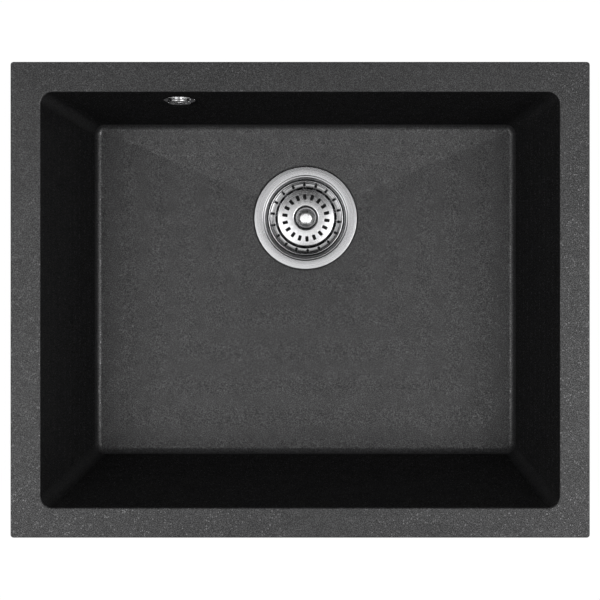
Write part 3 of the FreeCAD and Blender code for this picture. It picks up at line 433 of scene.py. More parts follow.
def joined(name: str, parts: Iterable[Thing]) -> Thing:
    """Several mesh objects as one.

    Args:
        name: name of the result.
        parts: objects that are used up.

    Returns:
        The one object.
    """
    work = bmesh.new()
    for part in parts:
        work.from_mesh(part.data)
        used_up(part)
    mesh = bpy.data.meshes.new(name)
    work.to_mesh(mesh)
    work.free()
    return new_object(name, mesh)


def lathe(name: str, profile: Sequence[Point], segments: int) -> Thing:
    """Closed solid of revolution about Z.

    Args:
        name: name of the object.
        profile: closed outline as (radius, height); a radius of 0 closes on the axis.
        segments: steps round the axis.

    Returns:
        The object, with its normals outwards.
    """
    points: list[Triple] = []
    rows: list[list[int]] = []
    for radius, height in profile:
        if radius < ON_AXIS:
            rows.append([len(points)] * segments)
            points.append((0.0, 0.0, height))
            continue
        rows.append(list(range(len(points), len(points) + segments)))
        for i in range(segments):
            angle = TURN * i / segments
            points.append((radius * math.cos(angle), radius * math.sin(angle), height))
    faces: list[list[int]] = []
    for a, b in zip(rows, rows[1:] + rows[:1]):
        for i in range(segments):
            j = (i + 1) % segments
            loop = [a[i], a[j], b[j], b[i]]
            corners = [c for n, c in enumerate(loop) if c != loop[n - 1]]
            if len(set(corners)) > 2:
                faces.append(corners)
    made = mesh_object(name, points, faces)
    outward(made)
    return made


def prism(name: str, outline: Sequence[Point], low: float, high: float) -> Thing:
    """Upright prism of a closed outline seen from above.

    Args:
        name: name of the object.
        outline: corners in order.
        low: lower level.
        high: upper level.

    Returns:
        The object, with its normals outwards.
    """
    count = len(outline)
    points = [(x, y, z) for z in (low, high) for x, y in outline]
    sides = [(i, (i + 1) % count, (i + 1) % count + count, i + count) for i in range(count)]
    ends = [tuple(range(count))[::-1], tuple(range(count, 2 * count))]
    made = mesh_object(name, points, ends + sides)
    outward(made)
    return made


# Outlines, in millimetres


ARC_REACH = 0.49  # share of an edge that the rounding at one of its ends may take
BEND_STEPS = 4
SLOT_STEPS = 3
ARCH_STEPS = 2
ARCH_HALF = 4  # pieces in half an arched slot
DOT_STEPS = 16


def rounded(profile: Sequence[Point], radii: Sequence[float], steps: int = 5) -> list[Point]:
    """Closed outline whose corners are arcs.

    Args:
        profile: closed outline.
        radii: rounding of each corner, 0 for a sharp one.
        steps: pieces in each arc.

    Returns:
        The outline with its arcs as short runs.
    """
    made: list[Point] = []
    count = len(profile)
    for i, here in enumerate(profile):
        if radii[i] <= 0:
            made.append(here)
            continue
        corner = Vector(here)
        back = Vector(profile[i - 1]) - corner
        ahead = Vector(profile[(i + 1) % count]) - corner
        half = back.angle(ahead) / 2
        longest = min(back.length, ahead.length) * ARC_REACH
        reach = min(radii[i] / math.tan(half), longest)
        radius = reach * math.tan(half)
        back, ahead = back.normalized(), ahead.normalized()
        centre = corner + (back + ahead).normalized() * (radius / math.sin(half))
        first, last = corner + back * reach - centre, corner + ahead * reach - centre
        for k in range(steps + 1):
            made.append(tuple(centre + first.lerp(last, k / steps).normalized() * radius))
    return made


def sheet_outline(line: Sequence[Point], thickness: float, bend: float) -> list[Point]:
    """Closed outline of pressed sheet below a line that runs from the outside inwards.

    Args:
        line: upper side, as (radius, height).
        thickness: thickness of the sheet.
        bend: inner bend radius.

    Returns:
        The closed outline with its bends.
    """
    near = [Vector(p) for p in line]
    far: list[Vector] = []
    near_radii, far_radii = [0.0] * len(near), [0.0] * len(near)
    for i, here in enumerate(near):
        into = here - near[i - 1] if i else near[1] - here
        out = near[i + 1] - here if i < len(near) - 1 else into
        side_in = Vector((-into.y, into.x)).normalized()
        side_out = Vector((-out.y, out.x)).normalized()
        side = (side_in + side_out).normalized()
        far.append(here + side * (thickness / side.dot(side_in)))
        if 0 < i < len(near) - 1:
            bends = [bend, bend + thickness]
            near_radii[i], far_radii[i] = bends[::-1] if into.cross(out) > 0 else bends
    outline = [tuple(p) for p in near + far[::-1]]
    return rounded(outline, near_radii + far_radii[::-1], BEND_STEPS)


def slot_outline(inner: float, outer: float, width: float, radius: float) -> list[Point]:
    """Rounded slot along +X.

    Args:
        inner: distance of its near end from the middle.
        outer: distance of its far end.
        width: its width.
        radius: rounding of its corners.

    Returns:
        The outline.
    """
    half = width / 2
    corners = [(inner, -half), (outer, -half), (outer, half), (inner, half)]
    return rounded(corners, [radius] * 4, SLOT_STEPS)


def arc_outline(inner: float, outer: float, angle_deg: float, radius: float) -> list[Point]:
    """Arched slot centred on +X.

    Args:
        inner: radius of its near side.
        outer: radius of its far side.
        angle_deg: angle that it spans.
        radius: rounding of its corners.

    Returns:
        The outline.
    """
    half = math.radians(angle_deg / 2)
    turns = [half * (k / ARCH_HALF) for k in range(-ARCH_HALF, ARCH_HALF + 1)]
    far = [(outer * math.cos(a), outer * math.sin(a)) for a in turns]
    near = [(inner * math.cos(a), inner * math.sin(a)) for a in reversed(turns)]
    ends = [radius, *[0.0] * (len(turns) - 2), radius]
    return rounded(far + near, ends + ends, ARCH_STEPS)


def circle_outline(centre: float, radius: float) -> list[Point]:
    """Circle centred on +X."""
    turns = [TURN * k / DOT_STEPS for k in range(DOT_STEPS)]
    return [(centre + radius * math.cos(a), radius * math.sin(a)) for a in turns]


# Geometry Nodes


class Recipe(Graph):
    """Geometry Nodes tree with a geometry input, named values and a material."""

    def __init__(self, name: str, inputs: dict[str, object]) -> None:
        """Starts a tree.

        Args:
            name: name of the tree.
            inputs: default of each named input, or the kind of one that has no default.
        """
        super().__init__(bpy.data.node_groups.new(name, "GeometryNodeTree"))
        sockets = self.tree.interface
        for side in ("INPUT", "OUTPUT"):
            sockets.new_socket("Geometry", in_out=side, socket_type="NodeSocketGeometry")
        for label, value in {**inputs, "Material": "Material"}.items():
            kind = value if isinstance(value, str) else type(value).__name__.capitalize()
            socket = sockets.new_socket(label, in_out="INPUT", socket_type=f"NodeSocket{kind}")
            if kind != value:
                socket.default_value = value
        self.start = self.add("NodeGroupInput")

    def given(self, name: str) -> Socket:
        """The socket of a named input."""
        return self.start.outputs[name]

    def swept(self, curve: Node, sides: int, radius: Value, caps: bool = False) -> Node:
        """Tube of a radius and a number of sides, along a curve.

        Args:
            curve: the middle line.
            sides: sides of its section.
            radius: radius of its section.
            caps: whether its ends are closed.

        Returns:
            The node that gives the tube.
        """
        ring = self.add("GeometryNodeCurvePrimitiveCircle", {"Resolution": sides, "Radius": 1.0})
        inputs = {"Curve": curve, "Profile Curve": ring, "Scale": radius, "Fill Caps": caps}
        return self.add("GeometryNodeCurveToMesh", inputs)

    def together(self, *pieces: Value) -> Node:
        """Joins several pieces.

        Args:
            pieces: the pieces.

        Returns:
            The node that gives them as one.
        """
        whole = self.add("GeometryNodeJoinGeometry")
        for piece in pieces:
            self.link(piece, whole.inputs[0])
        return whole

    def end(self, geometry: Value) -> Tree:
        """Closes the tree with real instances and the asked material.

        Args:
            geometry: what the tree makes.

        Returns:
            The tree.
        """
        real = self.add("GeometryNodeRealizeInstances", {0: geometry})
        inputs = {"Geometry": real, "Material": self.given("Material")}
        self.add("NodeGroupOutput", {0: self.add("GeometryNodeSetMaterial", inputs)})
        return self.tree


@cache
def punched_tree() -> Tree:
    """Cuts a ring of equal holes out of a solid.

    Returns:
        The tree, made once.
    """
    tree = Recipe("punched_holes", {"Cutter": "Object", "Count": 12, "First Angle": 0.0})
    count = tree.given("Count")
    spots = tree.add("GeometryNodeMeshLine", {"Count": count, "Offset": (0.0, 0.0, 0.0)})
    number = tree.add("GeometryNodeInputIndex")
    turned = tree.math("MULTIPLY", number, tree.math("DIVIDE", TURN, count))
    angle = tree.math("ADD", turned, tree.given("First Angle"))
    cutter = tree.add("GeometryNodeObjectInfo", {"Object": tree.given("Cutter")})
    cutters = tree.add("GeometryNodeInstanceOnPoints", {
        "Points": spots, "Instance": cutter.outputs["Geometry"],
        "Rotation": tree.add("ShaderNodeCombineXYZ", {"Z": angle}),
    })
    return tree.end(tree.add("GeometryNodeMeshBoolean", {
        "Mesh 1": tree.given("Geometry"),
        "Mesh 2": tree.add("GeometryNodeRealizeInstances", {0: cutters}),
    }, operation="DIFFERENCE"))


THREAD_STEPS = 48  # in one turn
THREAD_SIDES = 4
RUN_OUT = 0.05  # share of a thread at each end over which it rises
RUN_OUT_TIP = 0.05  # its share of the depth at its very end


@cache
def thread_tree() -> Tree:
    """Adds a helical thread with run-outs to a core about the Z axis.

    Returns:
        The tree, made once.
    """
    tree = Recipe("helical_thread", {
        "Radius": 10.0, "Depth": 1.0, "Length": 10.0, "Turns": 5.0, "Start": 0.0,
    })
    helix = tree.add("GeometryNodeCurveSpiral", {
        "Resolution": THREAD_STEPS,
        "Rotations": tree.given("Turns"),
        "Start Radius": tree.given("Radius"), "End Radius": tree.given("Radius"),
        "Height": tree.given("Length"),
    })
    upright = tree.add("GeometryNodeSetCurveNormal", {"Curve": helix}, mode="Z_UP")
    share = tree.add("GeometryNodeSplineParameter").outputs["Factor"]
    fade = tree.add("ShaderNodeMapRange", {
        "Value": tree.math("MINIMUM", share, tree.math("SUBTRACT", 1.0, share)),
        "From Max": RUN_OUT, "To Min": RUN_OUT_TIP,
    })
    size = tree.math("MULTIPLY", fade, tree.given("Depth"))
    ridge = tree.swept(upright, THREAD_SIDES, size, True)
    raised = tree.add("ShaderNodeCombineXYZ", {"Z": tree.given("Start")})
    placed = tree.add("GeometryNodeTransform", {"Geometry": ridge, "Translation": raised})
    return tree.end(tree.together(tree.given("Geometry"), placed))


@cache
def copies_tree() -> Tree:
    """Puts a copy of a piece on every point.

    Returns:
        The tree, made once.
    """
    tree = Recipe("placed_copies", {"Piece": "Object"})
    piece = tree.add("GeometryNodeObjectInfo", {"Object": tree.given("Piece")})
    inputs = {"Points": tree.given("Geometry"), "Instance": piece.outputs["Geometry"]}
    return tree.end(tree.add("GeometryNodeInstanceOnPoints", inputs))


RIB_SIDES = 40
RIB_STEPS = 10.0  # in one rib
RIB_FLANK: Point = (0.32, 0.18)  # distances from the crest's middle, as shares of the pitch


@cache
def ribbed_tree() -> Tree:
    """Sweeps a corrugated tube along a path, with plain cuffs at both ends.

    Returns:
        The tree, made once.
    """
    tree = Recipe("corrugated_tube", {
        "Root": 7.8, "Crest": 9.2, "Bore": 6.6, "Cuff": 16.0, "Pitch": 4.5,
    })
    path, pitch, cuff = tree.given("Geometry"), tree.given("Pitch"), tree.given("Cuff")
    whole = tree.add("GeometryNodeCurveLength", {"Curve": path})
    inputs = {"Curve": path, "Length": tree.math("DIVIDE", pitch, RIB_STEPS)}
    fine = tree.add("GeometryNodeResampleCurve", inputs, mode="LENGTH")
    along = tree.add("GeometryNodeSplineParameter").outputs["Length"]
    from_end = tree.math("MINIMUM", along, tree.math("SUBTRACT", whole, along))
    inside = tree.math("GREATER_THAN", from_end, cuff)
    passed = tree.math("DIVIDE", tree.math("SUBTRACT", along, cuff), pitch)
    centred = tree.math("SUBTRACT", tree.math("FRACT", passed), 0.5)
    crest = tree.add("ShaderNodeMapRange", {
        "Value": tree.math("ABSOLUTE", centred),
        "From Min": RIB_FLANK[0], "From Max": RIB_FLANK[1],
    }, interpolation_type="SMOOTHSTEP")
    height = tree.math("SUBTRACT", tree.given("Crest"), tree.given("Root"))
    rib = tree.math("MULTIPLY", tree.math("MULTIPLY", crest, inside), height)
    outside = tree.swept(fine, RIB_SIDES, tree.math("ADD", rib, tree.given("Root")))
    bore = tree.swept(fine, RIB_SIDES, tree.given("Bore"))
    return tree.end(tree.together(outside, bore))


def grow(made: Thing, steps: Sequence[tuple[Tree, dict]], tools: Sequence[Thing] = ()) -> Thing:
    """Runs trees on an object and keeps the resulting mesh.

    Args:
        made: mesh or curve object that is used up.
        steps: each tree with the values of its inputs by name.
        tools: objects that the trees read, used up too.

    Returns:
        The new mesh object, with the old one's name.
    """
    for tree, values in steps:
        modifier = made.modifiers.new(tree.name, "NODES")
        modifier.node_group = tree
        for item in tree.interface.items_tree:
            if item.in_out == "INPUT" and item.name in values:
                modifier[item.identifier] = values[item.name]
    bpy.context.view_layer.update()
    graph = bpy.context.evaluated_depsgraph_get()
    mesh = bpy.data.meshes.new_from_object(made.evaluated_get(graph), depsgraph=graph)
    made.modifiers.clear()
    name = made.name
    for done in (made, *tools):
        used_up(done)
    mesh.name = name
    return new_object(name, mesh)


@dataclass(frozen=True)
class Punch:
    """One ring of equal cuts about the Z axis, in millimetres."""

    outline: Sequence[Point]
    low: float
    high: float
    count: int = 1
    first_deg: float = 0.0


def punched(blank: Thing, punches: Sequence[Punch]) -> Thing:
    """Cuts rings of holes out of a blank.

    Args:
        blank: closed solid that is used up.
        punches: the rings of holes.

    Returns:
        The cut solid, with its normals outwards.
    """
    tools, steps = [], []
    for i, punch in enumerate(punches):
        tool = prism(f"{blank.name}_cutter_{i}", punch.outline, punch.low, punch.high)
        first = math.radians(punch.first_deg)
        tools.append(tool)
        inputs = {"Cutter": tool, "Count": punch.count, "First Angle": first}
        steps.append((punched_tree(), inputs))
    made = grow(blank, steps, tools)
    outward(made)
    return made


# Finishes


@dataclass(frozen=True)
class Composite:
    """Matt mineral composite of fine dark and light grains.

    A span is the range of what it reads and the range that this becomes. Each kind of light
    grain is its number of cells in a metre, and the share of the cells that hold no grain.
    """

    name: str
    colour: Triple = (0.026, 0.026, 0.0268)
    octaves: float = 3.0
    grain_scale: float = 1150.0
    grain: Span = ((0.32, 0.70), (0.35, 1.55))
    cloud_scale: float = 60.0
    cloud: Span = ((0.3, 0.7), (0.94, 1.06))
    flecks: tuple[Point, ...] = ((520.0, 0.80), (900.0, 0.84))
    fleck_edge: Span = ((0.42, 0.22), (0.0, 1.0))
    fleck_blend: float = 0.15
    fleck_light: float = 2.6
    rough: Span = ((0.4, 2.6), (0.37, 0.26))
    facing_blend: float = 0.5
    level: Span = ((0.30, 0.72), (0.565, 0.0))
    glint: Span = ((0.2, 2.8), (0.55, 2.2))
    bump_strength: float = 0.15
    bump_height: float = 0.00004

    def material(self) -> Material:
        """Paints the finish.

        Returns:
            Its material.
        """
        paint = Shading(bpy.data.materials.new(self.name))
        place = paint.place()
        grain = paint.span(paint.noise(place, self.grain_scale, self.octaves), *self.grain)
        cloud = paint.span(paint.noise(place, self.cloud_scale, self.octaves), *self.cloud)
        flecks = paint.largest(*(self.scattered(paint, place, *kind) for kind in self.flecks))
        base = paint.product(grain, cloud)
        share = paint.math("MULTIPLY_ADD", flecks, self.fleck_light, base)
        facing = paint.add("ShaderNodeLayerWeight", {"Blend": self.facing_blend}).outputs["Facing"]
        level = paint.product(paint.span(facing, *self.level), paint.span(share, *self.glint))
        return paint.surface(paint.add("ShaderNodeBsdfPrincipled", {
            "Base Color": paint.tint(self.colour, share),
            "Roughness": paint.span(share, *self.rough),
            "Specular IOR Level": level,
            "Normal": paint.bump(share, self.bump_strength, self.bump_height),
        }))

    def scattered(self, paint: Shading, place: Socket, scale: float, empty: float) -> Node:
        """Small light grains scattered through the material.

        Args:
            paint: nodes of the material.
            place: coordinates.
            scale: cells in a metre, each of which may hold a grain.
            empty: share of the cells that hold none.

        Returns:
            The node that gives 1 in a grain and 0 outside.
        """
        cells = paint.add("ShaderNodeTexVoronoi", {"Vector": place, "Scale": scale}).outputs
        lot = paint.add("ShaderNodeSeparateColor", {0: cells["Color"]}).outputs["Red"]
        chosen = paint.span(lot, (empty, empty + self.fleck_blend), (0.0, 1.0))
        return paint.product(paint.span(cells["Distance"], *self.fleck_edge), chosen)


@dataclass(frozen=True)
class SpunSteel:
    """Stainless steel brushed in rings about an upright axis, darker below a given height as
    painted shade.
    """

    name: str
    axis: Point
    colour: Triple = (0.70, 0.70, 0.71)
    roughness: float = 0.26
    rings: float = 1900.0
    depth: float = 0.00002
    octaves: float = 2.0
    grain: Point = (0.2, 0.8)
    unevenness: float = 0.06
    bump_strength: float = 0.25
    # painted shade: between these heights, in metres, the colour darkens to the share below, and
    # stays so beneath them
    drawn_levels: Point = (-0.2045, -0.2075)
    drawn_share: float = 1.0

    def material(self) -> Material:
        """Paints the finish.

        Returns:
            Its material.
        """
        paint = Shading(bpy.data.materials.new(self.name))
        about = paint.vector("SUBTRACT", paint.place(), (*self.axis, 0.0))
        level = paint.vector("MULTIPLY", about, (1.0, 1.0, 0.0))
        radius = paint.vector("LENGTH", level).outputs["Value"]
        height = paint.add("ShaderNodeSeparateXYZ", {0: about}).outputs["Z"]
        ring = paint.add("ShaderNodeCombineXYZ", {"X": radius, "Y": height})
        grain = paint.noise(ring, self.rings, self.octaves)
        roughness = (self.roughness - self.unevenness, self.roughness + self.unevenness)
        shader = paint.add("ShaderNodeBsdfPrincipled", {
            "Base Color": (*self.colour, 1.0),
            "Metallic": 1.0,
            "Roughness": paint.span(grain, self.grain, roughness),
            "Normal": paint.bump(grain, self.bump_strength, self.depth),
        })
        # painted shade: the colour is darkened below the given heights
        if self.drawn_share < 1.0:
            share = paint.span(height, self.drawn_levels, (1.0, self.drawn_share))
            paint.link(paint.tint(self.colour, share), shader.inputs["Base Color"])
        return paint.surface(shader)


@dataclass(frozen=True)
class Plain:
    """Even finish with a faint grain: polished or plated metal, plastic or rubber."""

    name: str
    colour: Triple
    roughness: float
    metallic: float = 0.0
    waves: float = 400.0
    depth: float = 0.00001
    octaves: float = 2.0
    grain: Point = (0.3, 0.7)
    unevenness: float = 0.12
    bump_strength: float = 0.3

    def material(self) -> Material:
        """Paints the finish.

        Returns:
            Its material.
        """
        paint = Shading(bpy.data.materials.new(self.name))
        grain = paint.noise(paint.place(), self.waves, self.octaves)
        spread = self.roughness * self.unevenness
        roughness = (self.roughness - spread, self.roughness + spread)
        return paint.surface(paint.add("ShaderNodeBsdfPrincipled", {
            "Base Color": (*self.colour, 1.0),
            "Metallic": self.metallic,
            "Roughness": paint.span(grain, self.grain, roughness),
            "Normal": paint.bump(grain, self.bump_strength, self.depth),
        }))


DRAIN: Point = (0.0, 0.078)

FINISHES = {
    Slot.COMPOSITE: Composite("granite_composite"),
    Slot.SHEET: SpunSteel("brushed_flange_steel", DRAIN, (0.50, 0.50, 0.51)),
    Slot.TURNED: SpunSteel("turned_bolt_steel", DRAIN, roughness=0.3),
    # the basket's colour is darkened in its deep channel and knob well as painted shade
    Slot.BASKET: SpunSteel(
        "pressed_basket_steel", DRAIN, (0.66, 0.66, 0.67), roughness=0.2, rings=1500.0,
        depth=0.000008, drawn_share=0.56,
    ),
    Slot.KNOB: Plain("polished_knob_steel", (0.97, 0.97, 0.975), 0.30, 1.0),
    Slot.COVER: Plain("polished_cover_steel", (0.80, 0.80, 0.81), 0.16, 1.0),
    Slot.RUBBER: Plain("black_seal_rubber", (0.028, 0.028, 0.029), 0.62),
    Slot.GREY: Plain("grey_stem_plastic", (0.30, 0.30, 0.31), 0.42),
    Slot.WHITE: Plain("white_waste_plastic", (0.74, 0.74, 0.73), 0.38),
    Slot.HOSE: Plain("hose_plastic", (0.66, 0.66, 0.65), 0.45),
    Slot.NUT: Plain("union_nut_plastic", (0.70, 0.70, 0.69), 0.4),
    Slot.ZINC: Plain("zinc_plated_screws", (0.62, 0.63, 0.65), 0.34, 1.0),
    Slot.BRASS: Plain("insert_brass", (0.62, 0.46, 0.20), 0.3, 1.0),
    Slot.CLAMP: Plain("zinc_plated_straps", (0.57, 0.58, 0.60), 0.38, 1.0),
}


@cache
def finish(slot: Slot) -> Material:
    """One slot's material, made once."""
    return FINISHES[slot].material()


def dress(made: Thing, slot: Slot) -> None:
    """Gives an object one slot's material and nothing else."""
    made.data.materials.clear()
    made.data.materials.append(finish(slot))


# Sub-assemblies


ORIGIN = Matrix.Scale(MM, 4)  # from millimetres to the frame
DRAIN_CENTRE = Matrix.Translation((*DRAIN, 0.0)) @ ORIGIN


@dataclass(frozen=True)
class Fit:
    """How a finished piece is handed over.

    The node is the CAD node that it stands for. Edges with more than the sharp angle between
    their faces stay sharp.
    """

    body: Body
    slot: Slot
    node: str
    sharp_deg: float = 35.0


def settle(made: Thing, place: Matrix, fit: Fit) -> None:
    """Places a finished piece, dresses it, and hands it to its body.

    Args:
        made: the piece, in millimetres about its own axes.
        place: from those to the frame.
        fit: its body, slot and CAD node.
    """
    made.data.transform(place)
    made.data.shade_smooth()
    made.data.set_sharp_from_angle(angle=math.radians(fit.sharp_deg))
    dress(made, fit.slot)
    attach(made, fit.body.value)
    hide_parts(fit.node)
    log.info("%s: %d faces on %s", made.name, len(made.data.polygons), fit.body.value)


@dataclass(frozen=True)
class Strainer:
    """Pressed flange and cup of the waste with its outlet slots, in millimetres.

    An outlet slot is its inner and outer radius and its angle.
    """

    line: tuple[Point, ...] = (
        (57.0, -190.8), (56.4, -190.0), (47.0, -190.0), (46.2, -190.8),
        (44.8, -190.8), (42.6, -193.2), (42.6, -205.0), (37.0, -220.0),
        (31.0, -230.0), (4.25, -230.0),
    )
    sheet: float = 1.0
    bend: float = 0.7
    outlet_slots: int = 6
    outlet_slot: Triple = (11.5, 21.0, 44.0)
    outlet_corner: float = 1.5
    segments: int = 144

    def build(self) -> None:
        """Adds the strainer to the sink."""
        outline = sheet_outline(self.line, self.sheet, self.bend)
        blank = lathe("strainer_shell", outline, self.segments)
        floor = self.line[-1][1]
        slot = arc_outline(*self.outlet_slot, self.outlet_corner)
        ring = Punch(slot, floor - 2 * self.sheet, floor + self.sheet, self.outlet_slots)
        settle(punched(blank, [ring]), DRAIN_CENTRE, Fit(Body.SINK, Slot.SHEET, "strainer_body"))


@dataclass(frozen=True)
class Basket:
    """Pressed basket with rings of slots, dashes and dots, in millimetres.

    A slot is its inner and outer radius and its width, a dash its inner and outer radius and its
    angle, and a dot its distance from the middle and its radius. A crease is its inner and outer
    radius, its distance from the slot's middle line, and its width.
    """

    line: tuple[Point, ...] = (
        (41.6, -196.2), (41.2, -195.0), (40.1, -195.0), (38.7, -203.5),
        (38.0, -209.5), (34.2, -209.5), (31.3, -204.0), (13.3, -202.8),
        (11.6, -208.8), (3.1, -208.8),
    )
    sheet: float = 0.8
    bend: float = 0.5
    holes: int = 18
    first_deg: float = 12.9
    slot: Triple = (20.5, 26.5, 3.6)
    slot_corner: float = 0.9
    dash: Triple = (31.6, 34.2, 13.2)
    dash_corner: float = 0.7
    dot: Point = (36.4, 1.6)
    dot_top: float = -204.5
    crease: tuple[float, float, float, float] = (26.9, 31.1, 1.75, 0.4)
    crease_level: float = -204.05
    below: float = -211.5
    above: float = -201.5
    segments: int = 180

    def build(self) -> None:
        """Adds the basket to its body."""
        outline = sheet_outline(self.line, self.sheet, self.bend)
        blank = lathe("basket_shell", outline, self.segments)
        slot = slot_outline(*self.slot, self.slot_corner)
        dash = arc_outline(*self.dash, self.dash_corner)
        between_deg = self.first_deg + 180.0 / self.holes
        made = punched(blank, [
            Punch(slot, self.below, self.above, self.holes, self.first_deg),
            Punch(dash, self.below, self.above, self.holes, between_deg),
            Punch(circle_outline(*self.dot), self.below, self.dot_top, self.holes, self.first_deg),
            self.creases(-1),
            self.creases(1),
        ])
        settle(made, DRAIN_CENTRE, Fit(Body.BASKET, Slot.BASKET, "strainer_basket"))

    def creases(self, side: int) -> Punch:
        """Fine grooves that run outwards beside the slots.

        Args:
            side: 1 or -1, the side of each slot that they are on.

        Returns:
            Their cuts.
        """
        inner, outer, offset, width = self.crease
        near, far = side * offset, side * (offset + width)
        outline = [(inner, near), (outer, near), (outer, far), (inner, far)]
        return Punch(outline, self.crease_level, self.above, self.holes, self.first_deg)


@dataclass(frozen=True)
class Knob:
    """Turned knob of the basket, in millimetres."""

    profile: tuple[Point, ...] = (
        (0.0, -208.8), (4.6, -208.8), (4.6, -202.9), (9.3, -202.9),
        (9.3, -200.6), (5.6, -198.3), (0.0, -198.3),
    )
    radii: tuple[float, ...] = (0.0, 0.0, 0.3, 0.6, 1.3, 6.0, 0.0)
    arc_steps: int = 8
    segments: int = 96

    def build(self) -> None:
        """Adds the knob to the basket's body."""
        outline = rounded(self.profile, self.radii, self.arc_steps)
        made = lathe("turned_knob", outline, self.segments)
        settle(made, DRAIN_CENTRE, Fit(Body.BASKET, Slot.KNOB, "basket_knob", sharp_deg=50.0))


@dataclass(frozen=True)
class CoverScrew:
    """Slotted screw of the overflow cover along the cover's own Z axis, in millimetres."""

    head: Point = (4.0, 1.6)
    crown: Point = (2.6, 0.8)
    radii: tuple[float, ...] = (0.0, 1.0, 0.4, 0.0, 0.0, 0.0, 0.0, 0.0)
    core: float = 2.05
    end: float = 30.9
    tip: Point = (1.6, 0.4)
    slot: Triple = (-5.0, 5.0, 1.0)
    slot_levels: Point = (-2.6, -0.7)
    thread_depth: float = 0.45
    thread_length: float = 24.0
    thread_turns: float = 30.0
    thread_start: float = 8.0
    segments: int = 48

    def build(self, place: Matrix, seat: float) -> None:
        """Adds the screw to the sink.

        Args:
            place: from the cover's own axes to the frame.
            seat: level that its head rests on.
        """
        radius, height = self.head
        crown, rim = self.crown
        tip, taper = self.tip
        outline = [
            (0.0, seat - height), (crown, seat - height), (radius, seat - rim), (radius, seat),
            (self.core, seat), (self.core, self.end - taper), (tip, self.end), (0.0, self.end),
        ]
        blank = lathe("cover_screw", rounded(outline, self.radii), self.segments)
        low, high = self.slot_levels
        slot = Punch(slot_outline(*self.slot, 0.0), seat + low, seat + high)
        cut = punched(blank, [slot])
        made = grow(cut, [(thread_tree(), {
            "Radius": self.core, "Depth": self.thread_depth, "Length": self.thread_length,
            "Turns": self.thread_turns, "Start": seat + self.thread_start,
        })])
        settle(made, place, Fit(Body.SINK, Slot.TURNED, "overflow_screw"))


@dataclass(frozen=True)
class Overflow:
    """Slotted cover in the rear wall with its screw, in millimetres.

    The cover's own Z axis points out through the wall and its Y axis up the wall.
    """

    centre: Triple = (-120.5, 196.253, -27.0)
    draft_deg: float = 6.3
    plate: float = 1.0
    plate_radius: float = 15.7
    drum_radius: float = 11.4
    drum_face: float = -3.6
    wall: float = 1.2
    hole_radius: float = 2.6
    boss_radius: float = 4.4
    seat_radius: float = 4.1
    seat_depth: float = 0.6
    radii: tuple[float, ...] = (0.0, 0.0, 0.0, 0.0, 0.0, 0.0, 0.6, 0.3, 0.6, 0.15, 0.0, 0.0)
    slots: int = 8
    slot_inner: float = 5.2
    slot_width: float = 2.2
    slot_corner: float = 0.5
    slot_end: float = -1.3
    beyond: float = 1.0
    segments: int = 96

    def place(self) -> Matrix:
        """Works out where the cover is.

        Returns:
            The matrix from the cover's own axes to the frame.
        """
        slope = math.radians(self.draft_deg)
        up = Vector((0.0, math.sin(slope), math.cos(slope)))
        out = Vector((0.0, math.cos(slope), -math.sin(slope)))
        turn = Matrix((up.cross(out), up, out)).transposed().to_4x4()
        return Matrix.Translation(Vector(self.centre) * MM) @ turn @ ORIGIN

    def build(self) -> None:
        """Adds the cover and its screw to the sink."""
        hole, drum, inner = self.hole_radius, self.drum_radius, self.drum_radius - self.wall
        face, inside = self.drum_face, self.drum_face + self.wall
        seat = self.drum_face + self.seat_depth
        outline = [
            (hole, 0.0), (self.boss_radius, 0.0), (self.boss_radius, inside), (inner, inside),
            (inner, 0.0), (self.plate_radius, 0.0), (self.plate_radius, -self.plate),
            (drum, -self.plate), (drum, face), (self.seat_radius, face),
            (self.seat_radius, seat), (hole, seat),
        ]
        blank = lathe("overflow_drum", rounded(outline, self.radii), self.segments)
        slot = slot_outline(self.slot_inner, drum + self.beyond, self.slot_width, self.slot_corner)
        half_step = 180.0 / self.slots
        slots = Punch(slot, face - self.beyond, self.slot_end, self.slots, half_step)
        cover = punched(blank, [slots])
        settle(cover, self.place(), Fit(Body.SINK, Slot.COVER, "overflow_cover"))
        CoverScrew().build(self.place(), seat)


@dataclass(frozen=True)
class Tail:
    """Threaded tail of the waste, in millimetres."""

    top: float = -260.5
    collar: float = -264.5
    end: float = -288.5
    collar_radius: float = 26.9
    bore: float = 19.5
    radii: tuple[float, ...] = (0.0, 0.4, 0.8, 0.6, 0.8, 0.5)
    thread_radius: float = 23.9
    thread_depth: float = 1.35
    thread_sunk: float = 0.1
    thread_gaps: Point = (1.9, 2.2)
    pitch: float = 2.309
    segments: int = 120

    def build(self) -> None:
        """Adds the tail to the sink."""
        core = self.thread_radius - self.thread_depth
        outline = [
            (self.bore, self.top), (self.collar_radius, self.top),
            (self.collar_radius, self.collar), (core, self.collar),
            (core, self.end), (self.bore, self.end),
        ]
        blank = lathe("threaded_tail", rounded(outline, self.radii), self.segments)
        start, stop = self.end + self.thread_gaps[0], self.collar - self.thread_gaps[1]
        made = grow(blank, [(thread_tree(), {
            "Radius": core + self.thread_sunk, "Depth": self.thread_depth - self.thread_sunk,
            "Length": stop - start, "Turns": (stop - start) / self.pitch, "Start": start,
        })])
        settle(made, DRAIN_CENTRE, Fit(Body.SINK, Slot.WHITE, "waste_tail", sharp_deg=25.0))


